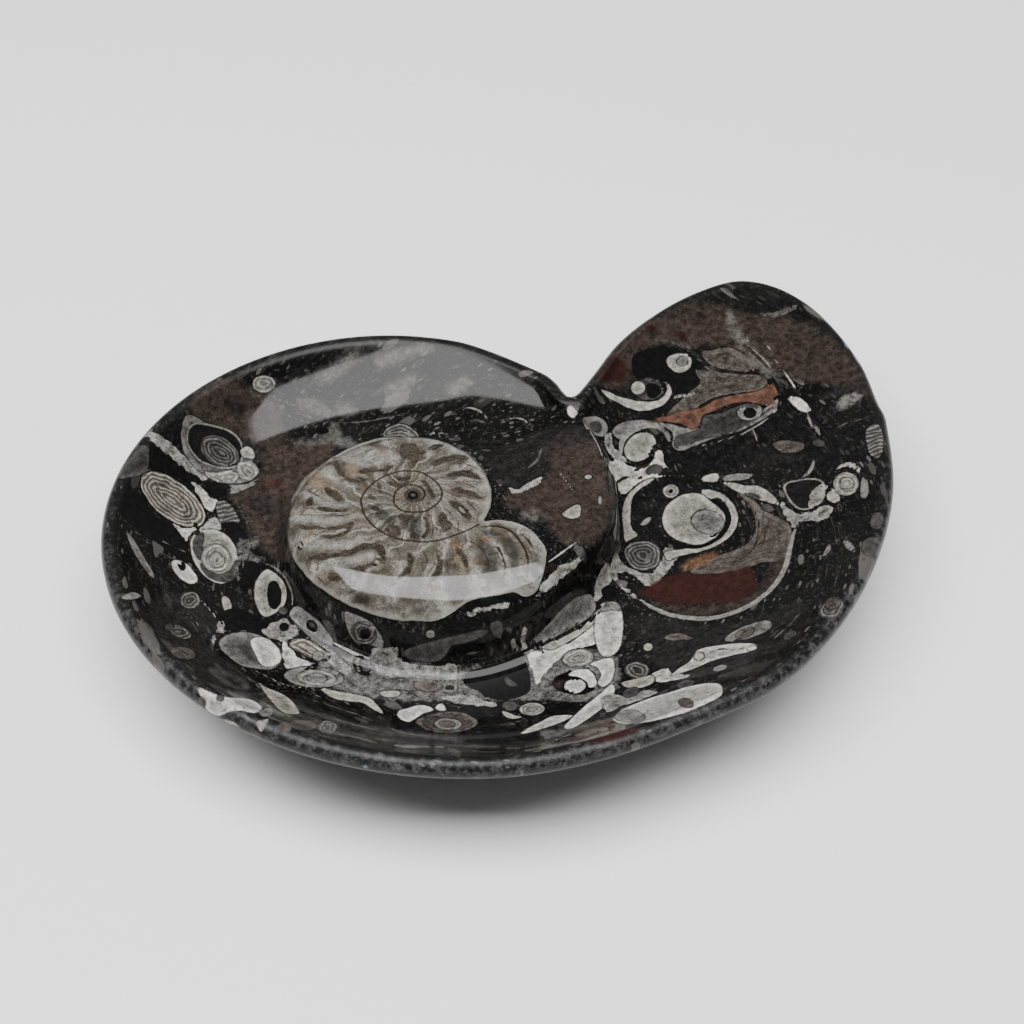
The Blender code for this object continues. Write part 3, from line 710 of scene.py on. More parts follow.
    ("ringedPale", (671, 491, 8.5, 7, 0)),
    ("black", (671, 491, 3, 2.5, 0)),
    ("grey", [640, 524, 646, 518, 652, 517, 648, 524, 642, 526]),
    ("ringedGrey", [624, 552, 630, 543, 640, 541, 652, 542, 660, 548, 660, 560, 655, 568, 642, 571, 630,
        566]),
    ("greyLine", 1.3, [653, 550, 649, 557, 645, 562]),
    ("cement", [612, 560, 616, 552, 622, 563, 632, 569, 645, 573, 655, 570, 662, 558, 665, 546, 672, 550,
        680, 556, 672, 565, 665, 575, 655, 586, 645, 587, 640, 580, 632, 575, 622, 572, 616, 575, 622, 585,
        632, 592, 638, 600, 630, 596, 618, 585, 611, 572]),
    ("brownDisc", [735, 490, 750, 495, 762, 508, 775, 515, 790, 525, 792, 545, 785, 562, 765, 562, 750, 567,
        735, 572, 712, 574, 690, 573, 700, 562, 720, 555, 745, 545, 755, 530, 752, 510]),
    ("brownGround", [655, 602, 680, 606, 710, 605, 735, 601, 755, 593, 768, 575, 775, 560, 787, 560, 780,
        577, 765, 593, 745, 606, 715, 615, 690, 616, 668, 611]),
    ("maroon", [640, 592, 655, 582, 668, 576, 690, 574, 710, 575, 730, 571, 745, 566, 754, 572, 756, 588,
        745, 598, 725, 604, 700, 604, 680, 604, 660, 602]),
    ("paleLine", 1.7, [638, 598, 650, 606, 668, 614, 690, 618, 712, 618, 735, 612, 755, 602, 772, 588, 784,
        570, 790, 550, 793, 535, 799, 524]),
    ("darkLine", 0.7, [742, 497, 755, 512, 759, 530, 753, 549, 736, 561, 712, 566]),
    ("darkLine", 0.5, [762, 508, 765, 525, 763, 545]),
    ("cream", [700, 490, 712, 490, 725, 495, 736, 508, 738, 522, 732, 535, 718, 545, 700, 552, 680, 556,
        668, 561, 664, 552, 675, 550, 695, 546, 715, 536, 728, 522, 728, 508, 718, 498, 708, 500]),
    ("black", [705, 498, 714, 499, 724, 505, 731, 515, 729, 528, 720, 539, 705, 547, 690, 549, 672, 545,
        664, 537, 680, 543, 700, 545, 718, 535, 725, 520, 718, 507]),
    ("cream", [662, 522, 665, 508, 675, 498, 688, 493, 702, 494, 712, 502, 722, 510, 726, 520, 722, 532,
        712, 540, 698, 545, 682, 542, 668, 534]),
    ("grey", (708, 522, 17, 12, 12)),
    ("darkLine", 0.5, [690, 526, 692, 516, 699, 510, 710, 508, 722, 512]),
    ("darkLine", 0.5, [706, 521, 701, 517, 706, 513]),
    ("orange", [680, 567, 690, 560, 705, 555, 718, 552, 712, 560, 700, 567, 688, 570]),
    ("cream", [700, 480, 706, 475, 716, 473, 720, 477, 716, 482, 706, 482]),
    ("grey", [722, 478, 730, 474, 745, 473, 754, 474, 748, 479, 735, 481, 725, 481]),
    ("cream", [720, 482, 732, 482, 745, 485, 760, 486, 772, 494, 782, 507, 770, 503, 755, 499, 742, 494,
        730, 488]),
    ("slate", [745, 495, 752, 493, 762, 498, 754, 499]),
    ("slate", (768, 508, 7, 4, 20)),
    ("darkShell", [783, 485, 795, 480, 810, 478, 822, 480, 826, 490, 822, 500, 812, 508, 800, 510, 788,
        500]),
    ("cement", [811, 494, 818, 485, 826, 485, 824, 498, 813, 508, 808, 502]),
    ("cement", [780, 500, 790, 509, 800, 513, 812, 512, 822, 505, 833, 508, 828, 518, 815, 521, 800, 522,
        795, 529, 788, 520, 782, 512]),
    ("cream", [835, 470, 842, 463, 852, 462, 861, 468, 862, 478, 855, 470, 845, 467]),
    ("cream", [826, 496, 832, 488, 840, 496, 838, 503, 830, 502]),
    ("grey", [862, 477, 867, 479, 869, 492, 864, 500, 860, 494]),
    ("ringedPale", (846, 484, 13, 12, 0)),
    ("ringedPale", (847, 483, 7, 6, 0)),
    ("grey", [814, 456, 815, 464, 812, 472, 804, 478, 800, 479, 808, 470, 812, 462]),
    ("grey", [843, 538, 850, 541, 857, 550, 855, 553, 847, 549, 843, 543]),
    ("grey", [829, 543, 832, 547, 828, 554, 821, 558, 825, 550]),
    ("ringedGrey", [818, 613, 822, 605, 828, 599, 837, 597, 844, 603, 842, 612, 835, 618, 824, 618]),
    ("brownDisc", (833, 604, 8, 5, -15)),
    ("slate", (872, 547, 11, 10, 0)),
    ("slate", (877, 521, 7, 9, 10)),
    ("striped", [866, 429, 874, 424, 881, 427, 884, 445, 879, 458, 870, 455, 866, 442]),
    ("cementGround", [836, 402, 845, 395, 858, 393, 862, 398, 852, 405, 842, 410]),
    ("slateGround", [818, 398, 832, 388, 850, 382, 864, 380, 866, 388, 850, 392, 832, 397]),
    ("brownDisc", [772, 443, 785, 440, 800, 442, 806, 447, 795, 453, 780, 452]),
    ("salmon", (773, 442, 4, 3, 0)),
    ("slateGround", [755, 455, 765, 451, 785, 454, 800, 455, 795, 462, 775, 464, 762, 467]),
    ("white", [787, 398, 793, 396, 802, 399, 810, 407, 811, 412, 803, 412, 795, 407]),
    ("paleLine", 1.1, [806, 413, 812, 424, 819, 432, 824, 438]),
    ("greyLine", 0.7, [829, 431, 845, 424, 866, 418]),
    ("paleLine", 0.45, [750, 424, 754, 433, 758, 442]),
    ("slate", (819, 443, 7, 4, 10)),

    # Lobe
    ("maroon", [600, 372, 606, 362, 616, 357, 625, 362, 627, 372, 622, 381, 610, 382, 600, 380]),
    ("maroon", (650, 328, 7, 4, 5)),
    ("maroon", (681, 336, 5, 5, 0)),
    ("black", [634, 355, 645, 350, 655, 347, 668, 343, 680, 345, 692, 352, 700, 362, 703, 372, 698, 382,
        688, 392, 675, 394, 665, 385, 655, 378, 645, 377, 636, 378, 632, 368]),
    ("cream", [666, 362, 669, 356, 678, 353, 688, 354, 692, 360, 690, 368, 682, 373, 673, 371]),
    ("grey", (682, 361, 6, 5, 0)),
    ("slate", (702, 373, 5, 4, 0)),
    ("brownDisc", [695, 370, 705, 367, 720, 372, 740, 374, 758, 375, 768, 382, 760, 390, 740, 393, 720, 396,
        705, 402, 690, 412, 675, 415, 665, 417, 675, 405, 690, 392, 700, 382]),
    ("salmon", [648, 421, 665, 416, 682, 411, 700, 408, 715, 400, 735, 395, 760, 390, 770, 382, 778, 392,
        779, 402, 770, 410, 762, 405, 745, 402, 730, 404, 715, 411, 703, 415, 700, 425, 692, 430, 680, 424,
        665, 422]),
    ("brownDisc", [700, 352, 712, 350, 728, 347, 742, 353, 755, 362, 762, 368, 748, 372, 730, 370, 712,
        366]),
    ("orange", 1.0, [727, 346, 745, 356, 758, 366]),
    ("darkLine", 0.6, [700, 366, 722, 371, 745, 373]),
    ("greyLine", 0.6, [655, 340, 672, 342, 690, 352, 705, 364, 725, 371]),
    ("cream", [600, 389, 608, 391, 618, 396, 630, 399, 640, 401, 655, 401, 664, 395, 667, 388, 662, 381,
        655, 378, 668, 383, 672, 392, 667, 402, 655, 409, 640, 411, 628, 408, 618, 403, 608, 398]),
    ("slate", [632, 390, 632, 383, 638, 379, 648, 378, 658, 380, 665, 388, 662, 395, 652, 400, 640, 399]),
    ("cream", (638, 388, 7.5, 7, 0)),
    ("black", [646, 385, 652, 383, 660, 387, 661, 393, 655, 398, 648, 397, 647, 391]),
    ("paleLine", 1.0, [671, 399, 680, 396, 690, 395, 697, 392]),
    ("slate", [700, 428, 704, 416, 720, 413, 735, 407, 745, 404, 760, 405, 770, 412, 760, 422, 742, 430,
        720, 436, 700, 440, 688, 446, 676, 448, 675, 438, 690, 432]),
    ("grey", (750, 412, 13, 8.5, -8)),
    ("black", (750, 413, 7, 5.5, 0)),
    ("paleLine", 0.55, [684, 449, 720, 441, 750, 430, 770, 416, 780, 404, 782, 392]),
    ("glow", 2.2, [728, 312, 738, 335, 760, 362, 778, 385]),
    ("paleLine", 0.5, [742, 325, 750, 345, 768, 364, 780, 384]),
    ("paleLine", 0.5, [758, 330, 770, 350, 783, 372, 796, 388]),
    ("whiteLine", 0.8, [778, 366, 787, 377, 796, 389]),
    ("greyLine", 1.8, [758, 314, 775, 315, 790, 309, 800, 305]),
    ("darkLine", 0.4, [770, 375, 783, 392, 800, 412]),

    # Painted highlight: small bluish glints on the rim, where its highlight falls
    ("blueChip", (365, 767, 4, 1.6, 5)),
    ("blueChip", (432, 764, 5, 1.4, 0)),
    ("blueChip", (449, 765, 2.5, 1.2, 0)),
    ("blueChip", (650, 317, 6, 2.0, -30)),
    ("blueChip", (856, 356, 1.6, 9, -25)),
    ("blueChip", (846, 345, 1.2, 4, -30)),

    # Round the ammonite, on the boss
    ("ringedGrey", [383, 437, 387, 428, 400, 423, 413, 428, 419, 438, 400, 436]),
    ("paleLine", 0.6, [428, 441, 431, 433, 436, 434]),
    ("paleLine", 0.6, [438, 441, 441, 434, 447, 433]),
    ("cement", [498, 485, 506, 486, 514, 489, 522, 488, 530, 482, 541, 477, 537, 484, 526, 490, 514, 493,
        505, 491]),
    ("greyLine", 0.7, [528, 468, 537, 460, 542, 448]),
    ("cream", [562, 513, 569, 508, 577, 504, 581, 507, 580, 516, 573, 519, 565, 517]),
    ("paleLine", 0.3, [556, 468, 566, 481, 577, 496]),
    ("cream", (588, 477, 4, 2.5, 0)),
    ("grey", (600, 500, 2.5, 5, 0)),
    ("glow", (532, 516, 9, 4, 5)),
    ("white", [567, 408, 571, 405, 575, 409, 578, 413, 573, 418, 568, 415]),
    # Painted highlight: a thin pale glint along the crest
    ("paleLine", 0.35, [590, 431, 598, 445, 603, 458]),
    # Painted highlight along the boss's rounded right-front edge, where the mirrored band narrows to a line
    ("whiteLine", 0.5, [548, 562, 560, 554, 577, 542]),
    ("cement", [535, 596, 542, 586, 551, 575, 562, 564, 576, 559, 586, 550, 593, 543, 589, 552, 578, 564,
        564, 577, 551, 588, 542, 594]),
    ("rust", (571, 571, 3, 2, 0)),
    ("rust", (552, 569, 5, 2, -20)),
    ("brownGround", [580, 540, 590, 532, 600, 515, 606, 495, 611, 500, 608, 520, 598, 538, 588, 546]),
    # Painted shadow: a dark line at the ammonite's right edge, where the coil stands a little proud
    ("darkLine", 0.8, [490, 478, 498, 485, 510, 497]),
]

# The ammonite: its edge, the seam that winds outward from the middle, and its dark chambers
ammonite = {
    "polish": 0.36,           # the pale shell takes a higher polish than the ground
    "polishRoughness": 0.08,
    "outline": [
        484, 521, 488, 513, 491, 503, 491, 491, 488, 481, 483, 472, 475, 462, 465, 453, 452, 446, 440,
        441, 425, 438, 410, 437, 395, 437, 380, 438, 365, 442, 350, 448, 335, 456, 322, 464, 312, 471,
        303, 480, 296, 490, 290, 502, 287, 515, 286, 530, 288, 544, 292, 556, 299, 567, 310, 580, 326,
        592, 343, 602, 360, 610, 378, 616, 396, 620, 414, 621, 432, 621, 443, 618, 455, 611, 466, 603,
        480, 598, 500, 595, 514, 592, 523, 596, 531, 596, 538, 588, 543, 575, 546, 560, 546, 550, 541,
        541, 533, 532, 522, 525, 508, 521, 495, 520],
    "middle": (413, 495),
    "seam": [
        394, 497, 394, 503, 398, 508, 403, 511, 410, 512, 418, 512, 426, 511, 434, 506, 440, 500, 442,
        493, 440, 487, 435, 481, 428, 476, 420, 472, 411, 471, 402, 471, 393, 473, 385, 476, 376, 481,
        369, 487, 364, 493, 361, 500, 362, 507, 364, 514, 368, 520, 375, 527, 384, 533, 393, 537, 403,
        540, 413, 541, 424, 542, 434, 541, 444, 539, 455, 535, 466, 531, 476, 526, 483, 521, 488, 513,
        491, 503, 491, 491, 488, 481, 483, 472, 475, 462, 465, 453, 452, 446, 440, 441, 425, 438, 410,
        437, 395, 437, 380, 438, 365, 442, 350, 448, 335, 456, 322, 464, 312, 471, 303, 480, 296, 490,
        290, 502, 287, 515, 286, 530, 288, 544, 292, 556, 299, 567, 310, 580, 326, 592, 343, 602, 360,
        610, 378, 616, 396, 620, 414, 621, 432, 622, 450, 622, 470, 619, 490, 614, 510, 606, 530, 596,
        545, 580, 555, 562],
    "chambers": 21,
    "sweep": 1.1,             # how far a wall leans back across the whorl, in chambers
    "bow": 0.45,
    "mouthAt": (1.25, 1.35),  # turns from the start of the seam, where growth lines take over
    "pale": (0.24, 0.225, 0.197, 1),
    "beige": (0.135, 0.117, 0.094, 1),
    "dim": (0.072, 0.059, 0.044, 1),
    "wallPale": (0.36, 0.345, 0.31, 1),
    "wallDark": (0.055, 0.040, 0.028, 1),
    "growthPale": (0.165, 0.142, 0.118, 1),
    "growthDark": (0.09, 0.07, 0.056, 1),
    "growthLines": 3.1,       # to a chamber's length
    "seamDark": (0.020, 0.014, 0.010, 1),
    "rust": (0.22, 0.12, 0.055, 1),
}

# Marks on the ammonite, in the same form
ammoniteMarks = [
    # Soft pale and tan parts of the whorls
    ("ivory", [338, 458, 350, 450, 366, 447, 384, 450, 398, 455, 400, 461, 388, 463, 374, 466, 360, 468,
        350, 462]),
    ("tan", [346, 466, 354, 462, 360, 467, 358, 475, 350, 477]),
    ("ivory", [322, 468, 332, 466, 336, 474, 344, 482, 356, 486, 346, 488, 334, 482, 326, 476]),
    ("tan", [308, 478, 316, 471, 324, 474, 332, 484, 342, 493, 333, 497, 322, 492, 312, 486]),
    ("ivory", [304, 494, 316, 494, 328, 501, 342, 504, 356, 503, 346, 507, 328, 506, 312, 501]),
    ("ivory", [296, 518, 320, 518, 345, 518, 358, 514, 350, 522, 325, 523, 300, 523]),
    ("ivory", [300, 536, 325, 541, 350, 540, 365, 536, 350, 546, 325, 549, 302, 548]),
    ("ivory", [320, 560, 345, 558, 362, 553, 374, 553, 372, 560, 352, 564, 330, 568]),
    ("tan", [318, 574, 332, 571, 345, 577, 334, 584, 322, 581]),
    # The next two soft dark veils are painted shade on the ammonite's lower left edge
    ("shade", [345, 588, 358, 592, 370, 600, 360, 606, 350, 598]),
    ("shade", [384, 603, 398, 604, 406, 610, 392, 612]),
    ("ivory", [424, 440, 440, 442, 452, 447, 466, 454, 476, 463, 484, 474, 488, 486, 484, 482, 474, 467,
        462, 456, 446, 449, 430, 444]),
    ("tan", [452, 543, 462, 548, 472, 560, 470, 572, 460, 566, 455, 554]),
    ("shade", [374, 508, 384, 509, 392, 515, 398, 521, 393, 527, 383, 522, 375, 516]),
    ("shade", [404, 520, 414, 518, 422, 524, 420, 533, 410, 534, 404, 528]),
    ("shade", [478, 539, 488, 542, 496, 551, 500, 563, 497, 576, 487, 577, 480, 568, 478, 553]),
    # Dark fills of the chambers: inner whorls
    ("pitted", (413, 495.5, 8.5, 7, 5)),
    ("black", (413, 495.5, 5.5, 4.6, 5)),
    ("brownDisc", (413, 495, 2.6, 2.0, 0)),
    ("pitted", [441, 513, 445, 514, 449, 520, 451, 526, 449, 531, 445, 533, 441, 532, 441, 526, 439, 520]),
    ("pitted", [424, 518, 428, 519, 430, 525, 428, 533, 424, 538, 421, 537, 425, 531, 426, 524]),
    ("pitted", [410, 533, 416, 532, 421, 535, 417, 539, 411, 538]),
    ("pitted", [388, 524, 396, 525, 401, 530, 400, 536, 393, 537, 386, 531]),
    ("pitted", [398, 516, 407, 515, 415, 517, 408, 520, 400, 520]),
    ("pitted", [369, 493, 374, 496, 378, 500, 373, 500, 368, 497]),
    ("pitted", [377, 482, 381, 485, 383, 492, 380, 494, 377, 489]),
    ("pitted", [368, 505, 376, 506, 380, 510, 373, 511]),
    ("pitted", [386, 482, 394, 482, 402, 484, 410, 481, 404, 487, 393, 487]),
    ("pitted", [395, 476, 402, 477, 410, 475, 409, 480, 399, 480]),
    ("pitted", [420, 480, 427, 482, 432, 488, 435, 495, 433, 499, 429, 495, 425, 488]),
    ("pitted", [425, 503, 430, 501, 431, 504, 427, 506]),
    # Outer whorl, from the right over the top to the left
    ("pitted", [449, 502, 455, 501, 462, 505, 468, 510, 472, 516, 470, 520, 464, 517, 457, 511, 452, 506]),
    ("grey", (462, 510, 5, 2.2, 42)),
    ("pitted", [450, 490, 458, 487, 467, 489, 476, 493, 482, 499, 474, 498, 466, 494, 458, 493]),
    ("pitted", [445, 476, 450, 472, 460, 470, 469, 471, 477, 474, 483, 480, 474, 479, 464, 477, 454, 477]),
    ("pitted", [430, 467, 432, 462, 440, 458, 450, 455, 462, 455, 470, 459, 458, 460, 446, 462, 438, 466]),
    ("pitted", [419, 453, 425, 449, 434, 445, 444, 443, 442, 447, 431, 450, 423, 455]),
    ("pitted", [400, 446, 406, 443, 414, 444, 419, 450, 418, 460, 414, 466, 410, 461, 403, 459, 400, 453]),
    ("pitted", [334, 463, 338, 460, 340, 467, 345, 474, 352, 479, 362, 478, 370, 478, 362, 483, 350, 482,
        341, 477, 336, 470]),
    ("pitted", [358, 471, 366, 468, 377, 470, 386, 467, 396, 464, 386, 472, 372, 472, 362, 475]),
    ("pitted", [324, 488, 331, 488, 338, 493, 345, 498, 336, 501, 328, 496]),
    ("pitted", (310, 502, 3.5, 4.5, 10)),
    ("pitted", [316, 507, 326, 507, 338, 509, 351, 507, 345, 512, 333, 514, 321, 511]),
    ("pitted", [297, 524, 303, 525, 314, 526, 330, 527, 342, 525, 352, 521, 354, 526, 349, 533, 340, 537,
        326, 538, 318, 535, 330, 535, 342, 532, 346, 529, 334, 530, 316, 529, 302, 529]),
    ("pitted", [308, 557, 320, 555, 334, 553, 345, 551, 356, 547, 364, 543, 374, 543, 382, 545, 387, 551,
        386, 560, 381, 557, 375, 550, 364, 550, 350, 555, 334, 558, 318, 561]),
    ("pitted", [344, 569, 356, 567, 368, 563, 378, 558, 380, 564, 370, 568, 358, 573]),
    ("black", (375, 565, 2.2, 1.6, -30)),
    ("black", [296, 541, 300, 540, 304, 545, 301, 550, 297, 547]),
    ("pitted", [328, 575, 336, 572, 345, 576, 339, 581, 330, 580]),
    ("pitted", [408, 552, 413, 555, 415, 563, 410, 573, 403, 578, 395, 580, 402, 572, 407, 564]),
    ("pitted", [436, 553, 441, 559, 444, 567, 440, 576, 432, 582, 427, 581, 434, 571, 437, 562]),
    ("pitted", [455, 546, 462, 550, 467, 557, 469, 566, 465, 568, 461, 560, 457, 553]),
    ("shade", [482, 531, 495, 530, 508, 537, 517, 548, 521, 561, 518, 571, 510, 567, 505, 554, 497, 542,
        487, 536]),
    # Thin growth lines and seams
    ("darkLine", 0.35, [443, 508, 452, 514, 458, 522, 458, 531]),
    ("darkLine", 0.35, [425, 512, 431, 519, 433, 529, 431, 539]),
    ("darkLine", 0.35, [454, 498, 463, 500, 472, 506, 478, 515, 476, 524]),
    ("darkLine", 0.35, [444, 484, 456, 482, 470, 485, 484, 493]),
    ("darkLine", 0.3, [445, 495, 458, 497, 470, 502, 481, 509]),
    ("darkLine", 0.35, [438, 468, 450, 464, 464, 464, 478, 469, 486, 477]),
    ("darkLine", 0.3, [424, 465, 425, 458, 434, 453, 447, 450, 460, 450]),
    ("darkLine", 0.4, [330, 460, 342, 455, 352, 457, 364, 452]),
    ("darkLine", 0.4, [357, 447, 364, 452, 372, 449, 380, 446]),
    ("darkLine", 0.4, [344, 485, 354, 489, 364, 489]),
    ("darkLine", 0.5, [300, 492, 306, 489, 313, 493, 322, 498, 332, 502]),
    ("darkLine", 0.4, [289, 517, 297, 514, 304, 515, 320, 515, 345, 515, 359, 508]),
    ("darkLine", 0.3, [294, 541, 318, 545, 340, 543, 358, 537]),
    ("darkLine", 0.4, [317, 574, 322, 568, 330, 565, 340, 563, 353, 562]),
    ("darkLine", 0.35, [302, 570, 318, 578, 332, 590]),
    ("darkLine", 0.35, [418, 546, 425, 554, 427, 563, 422, 573, 413, 583]),
    ("darkLine", 0.3, [444, 545, 452, 556, 455, 568, 449, 582]),
    ("darkLine", 0.3, [395, 546, 400, 556, 397, 566, 387, 577]),
    ("darkLine", 0.3, [462, 540, 474, 543, 484, 552, 489, 565, 487, 578]),
    ("darkLine", 0.6, [470, 535, 482, 536, 493, 542, 501, 553, 505, 566, 503, 580, 499, 590]),
    ("darkLine", 0.65, [476, 528, 493, 526, 509, 530, 520, 541, 527, 555, 528, 570, 525, 583, 520, 592]),
    ("darkLine", 0.6, [520, 533, 528, 540, 534, 550]),
    ("darkLine", 0.35, [532, 575, 536, 586, 530, 596]),
    ("orange", (480, 562, 3, 5, 10)),
    ("orange", (486, 539, 6, 2, 20)),
    ("orange", (455, 545, 5, 2, 30)),
    ("black", [463, 606, 468, 602, 480, 598, 500, 595, 515, 593, 521, 597, 512, 601, 495, 605, 480, 609,
        468, 612]),
    ("cement", [466, 613, 478, 608, 494, 605, 510, 602, 506, 606, 486, 611, 472, 617]),
]


def smoothCurve(points, closed, steps=5):
    points = np.array(points, float).reshape(-1, 2)
    if len(points) < 3:
        t = np.linspace(0, 1, steps + 1)[:, None]
        return points[0] + (points[-1] - points[0]) * t
    if closed:
        before, after, beyond = (np.roll(points, k, 0) for k in (1, -1, -2))
    else:
        before = np.vstack([points[:1], points[:-2]])
        after = points[1:]
        beyond = np.vstack([points[2:], points[-1:]])
        points = points[:-1]
    rows = []
    for k in range(steps):
        t = k / steps
        rows.append(0.5 * (2 * points + (after - before) * t
                           + (2 * before - 5 * points + 4 * after - beyond) * t ** 2
                           + (3 * points - before - 3 * after + beyond) * t ** 3))
    curve = np.stack(rows, 1).reshape(-1, 2)
    return curve if closed else np.vstack([curve, after[-1:]])


def ovalCurve(x, y, halfLong, halfShort, turn):
    angle = np.linspace(0, 2 * pi, 30, endpoint=False)
    a, b = halfLong * np.cos(angle), halfShort * np.sin(angle)
    c, s = cos(radians(turn)), sin(radians(turn))
    return np.stack([x + a * c - b * s, y + a * s + b * c], 1)


def photoPixels(points):
    place, ahead, right, up = cameraAxes()
    focal = camera["lens"] / camera["sensor"] * camera["pixels"]
    rel = points - place
    depth = rel @ ahead
    half = camera["pixels"] / 2
    return np.stack([half + focal * (rel @ right) / depth, half - focal * (rel @ up) / depth], 1)


def photoRay(pixel):
    place, ahead, right, up = cameraAxes()
    focal = camera["lens"] / camera["sensor"] * camera["pixels"]
    half = camera["pixels"] / 2
    way = ahead * focal + right * (pixel[0] - half) - up * (pixel[1] - half)
    return place, way / np.linalg.norm(way)


# How marks are thrown onto the stone: every face holds up to three, one over the other
paint = {
    "layers": 3,
    "reach": 2.0,             # how far beyond its edge a mark's distance is worked out
    "halo": 0.45,             # how far outside its edge a mark still darkens the ground
    "outside": -9.0,
    "edgeMargin": 4.0,        # how far outside its edge the ammonite's distance is worked out
    "below": -50.0,           # where rays to the underside start
    "seedStep": 0.618,
}


def makeCanvas(piece):
    mesh = piece.data
    count = len(mesh.vertices)
    points = np.empty(count * 3, np.float32)
    mesh.vertices.foreach_get("co", points)
    normals = np.empty(count * 3, np.float32)
    mesh.vertices.foreach_get("normal", normals)
    corner = np.empty(len(mesh.loops), np.int32)
    mesh.loops.foreach_get("vertex_index", corner)
    start = np.empty(len(mesh.polygons), np.int32)
    mesh.polygons.foreach_get("loop_start", start)
    size = np.empty(len(mesh.polygons), np.int32)
    mesh.polygons.foreach_get("loop_total", size)
    points = points.reshape(-1, 3).astype(float) / mm
    normals = normals.reshape(-1, 3).astype(float)
    faces = [corner[a:a + n].tolist() for a, n in zip(start, size)]
    toCamera = cameraAxes()[0] - points
    facing = np.einsum("ij,ij->i", normals, toCamera) > 0
    levels = paint["layers"]
    shape = np.zeros((levels, len(corner), 3), np.float32)
    shape[:, :, 0] = paint["outside"]
    return {
        "points": points, "normals": normals, "corner": corner, "start": start,
        "faceOfCorner": np.repeat(np.arange(len(start)), size),
        "tree": BVHTree.FromPolygons(points.tolist(), faces),
        "photo": photoPixels(points), "facing": facing,
        "count": np.zeros(len(start), np.int32),
        "shape": shape, "look": np.zeros((levels, len(corner), 3), np.float32),
        "made": 0,
    }


def castOnStone(canvas, view, pixel):
    if view == "photo":
        place, way = photoRay(pixel)
    else:
        place, way = np.array([pixel[0], pixel[1], paint["below"]]), np.array([0.0, 0.0, 1.0])
    where = canvas["tree"].ray_cast(Vector(place), Vector(way))[0]
    return None if where is None else np.array(where)


# How far each point of the stone lies inside a curve that is thrown onto it, in millimetres
def insideDistance(canvas, view, curve, closed, width, reach):
    hits = [castOnStone(canvas, view, pixel) for pixel in curve]
    kept = [k for k, hit in enumerate(hits) if hit is not None]
    if len(kept) < 2:
        return None
    curve = curve[kept]
    hits = np.array([hits[k] for k in kept])
    seen = canvas["facing"] if view == "photo" else canvas["normals"][:, 2] < -0.05
    flat = canvas["photo"] if view == "photo" else canvas["points"][:, :2]
    margin = reach * 4 if view == "photo" else reach
    near = seen & (flat >= curve.min(0) - margin).all(1) & (flat <= curve.max(0) + margin).all(1)
    middle = hits.mean(0)
    far = np.linalg.norm(hits - middle, axis=1).max() + reach
    near &= np.linalg.norm(canvas["points"] - middle, axis=1) < far
    near = np.nonzero(near)[0]
    if not len(near):
        return None
    a = hits
    b = np.roll(hits, -1, 0) if closed else hits[1:]
    a = a[:len(b)]
    along = b - a
    rel = canvas["points"][near][:, None] - a[None]
    t = np.clip((rel * along).sum(2) / np.maximum((along ** 2).sum(1), 1e-9), 0, 1)
    gap = np.linalg.norm(rel - along * t[:, :, None], axis=2)
    first = gap.argmin(1)
    gap = gap.min(1)
    if closed:
        x, y = flat[near].T
        px, py = curve.T
        qx, qy = np.roll(curve, -1, 0).T
        crosses = (py > y[:, None]) != (qy > y[:, None])
        slant = (qx - px) * (y[:, None] - py) / np.where(qy == py, 1e-9, qy - py) + px
        inside = (crosses & (x[:, None] < slant)).sum(1) % 2 == 1
        d = np.where(inside, gap, -gap)
    else:
        share = (first + t[np.arange(len(first)), first]) / len(b)
        taper = np.sqrt(np.maximum(0.02, 1 - (2 * share - 1) ** 2))
        d = width / 2 * taper - gap
    spread = hits - middle
    axis = np.linalg.svd(spread, full_matrices=False)[2][0]
    normal = canvas["normals"][near].mean(0)
    axis = axis - normal * axis.dot(normal) / normal.dot(normal)
    axis /= np.linalg.norm(axis)
    return near, d, (canvas["points"][near] - middle) @ axis


def paintShape(canvas, lookName, curve, closed, width=0.0, view="photo"):
    look = {**plainLook, **looks[lookName]}
    halo = paint["halo"] + look["rough"] + look["soft"] + look["echo"]
    found = insideDistance(canvas, view, curve, closed, width, halo + paint["reach"])
    if found is None:
        return
    near, d, u = found
    corner, faceOfCorner = canvas["corner"], canvas["faceOfCorner"]
    value = np.full((len(canvas["points"]), 3), -halo - paint["reach"], np.float32)
    value[near] = np.column_stack([d, u, np.zeros(len(d))])
    high = np.maximum.reduceat(value[corner, 0], canvas["start"])
    low = np.minimum.reduceat(value[corner, 0], canvas["start"])
    own = high > -halo
    covered = low > halo
    if look["cover"] == 1.0:
        canvas["count"][covered] = 0
        canvas["shape"][:, covered[faceOfCorner], 0] = paint["outside"]
    level = np.minimum(canvas["count"], paint["layers"] - 1)
    canvas["count"][own] += 1
    corners = np.nonzero(own[faceOfCorner])[0]
    levels = level[faceOfCorner[corners]]
    canvas["shape"][levels, corners] = value[corner[corners]]
    position = (list(looks).index(lookName) + 0.5) / packing["stops"]
    canvas["made"] += 1
    canvas["look"][levels, corners] = (position, canvas["made"] * paint["seedStep"] % 1, 0)


def paintFossils(piece):
    canvas = makeCanvas(piece)
    spiralPlaces(canvas, piece)
    for lookName, *rest in fossils + ammoniteMarks:
        if len(rest) == 2:
            paintShape(canvas, lookName, smoothCurve(rest[1], False), False, rest[0])
        elif isinstance(rest[0], tuple):
            paintShape(canvas, lookName, ovalCurve(*rest[0]), True)
        else:
            paintShape(canvas, lookName, smoothCurve(rest[0], True), True)
    for k in range(paint["layers"]):
        storeAttribute(piece.data, "shape" + str(k), canvas["shape"][k])
        storeAttribute(piece.data, "look" + str(k), canvas["look"][k])
    print("fossils painted:", canvas["made"], "deepest stack", canvas["count"].max(),
          "faces over the limit", (canvas["count"] > paint["layers"]).sum())


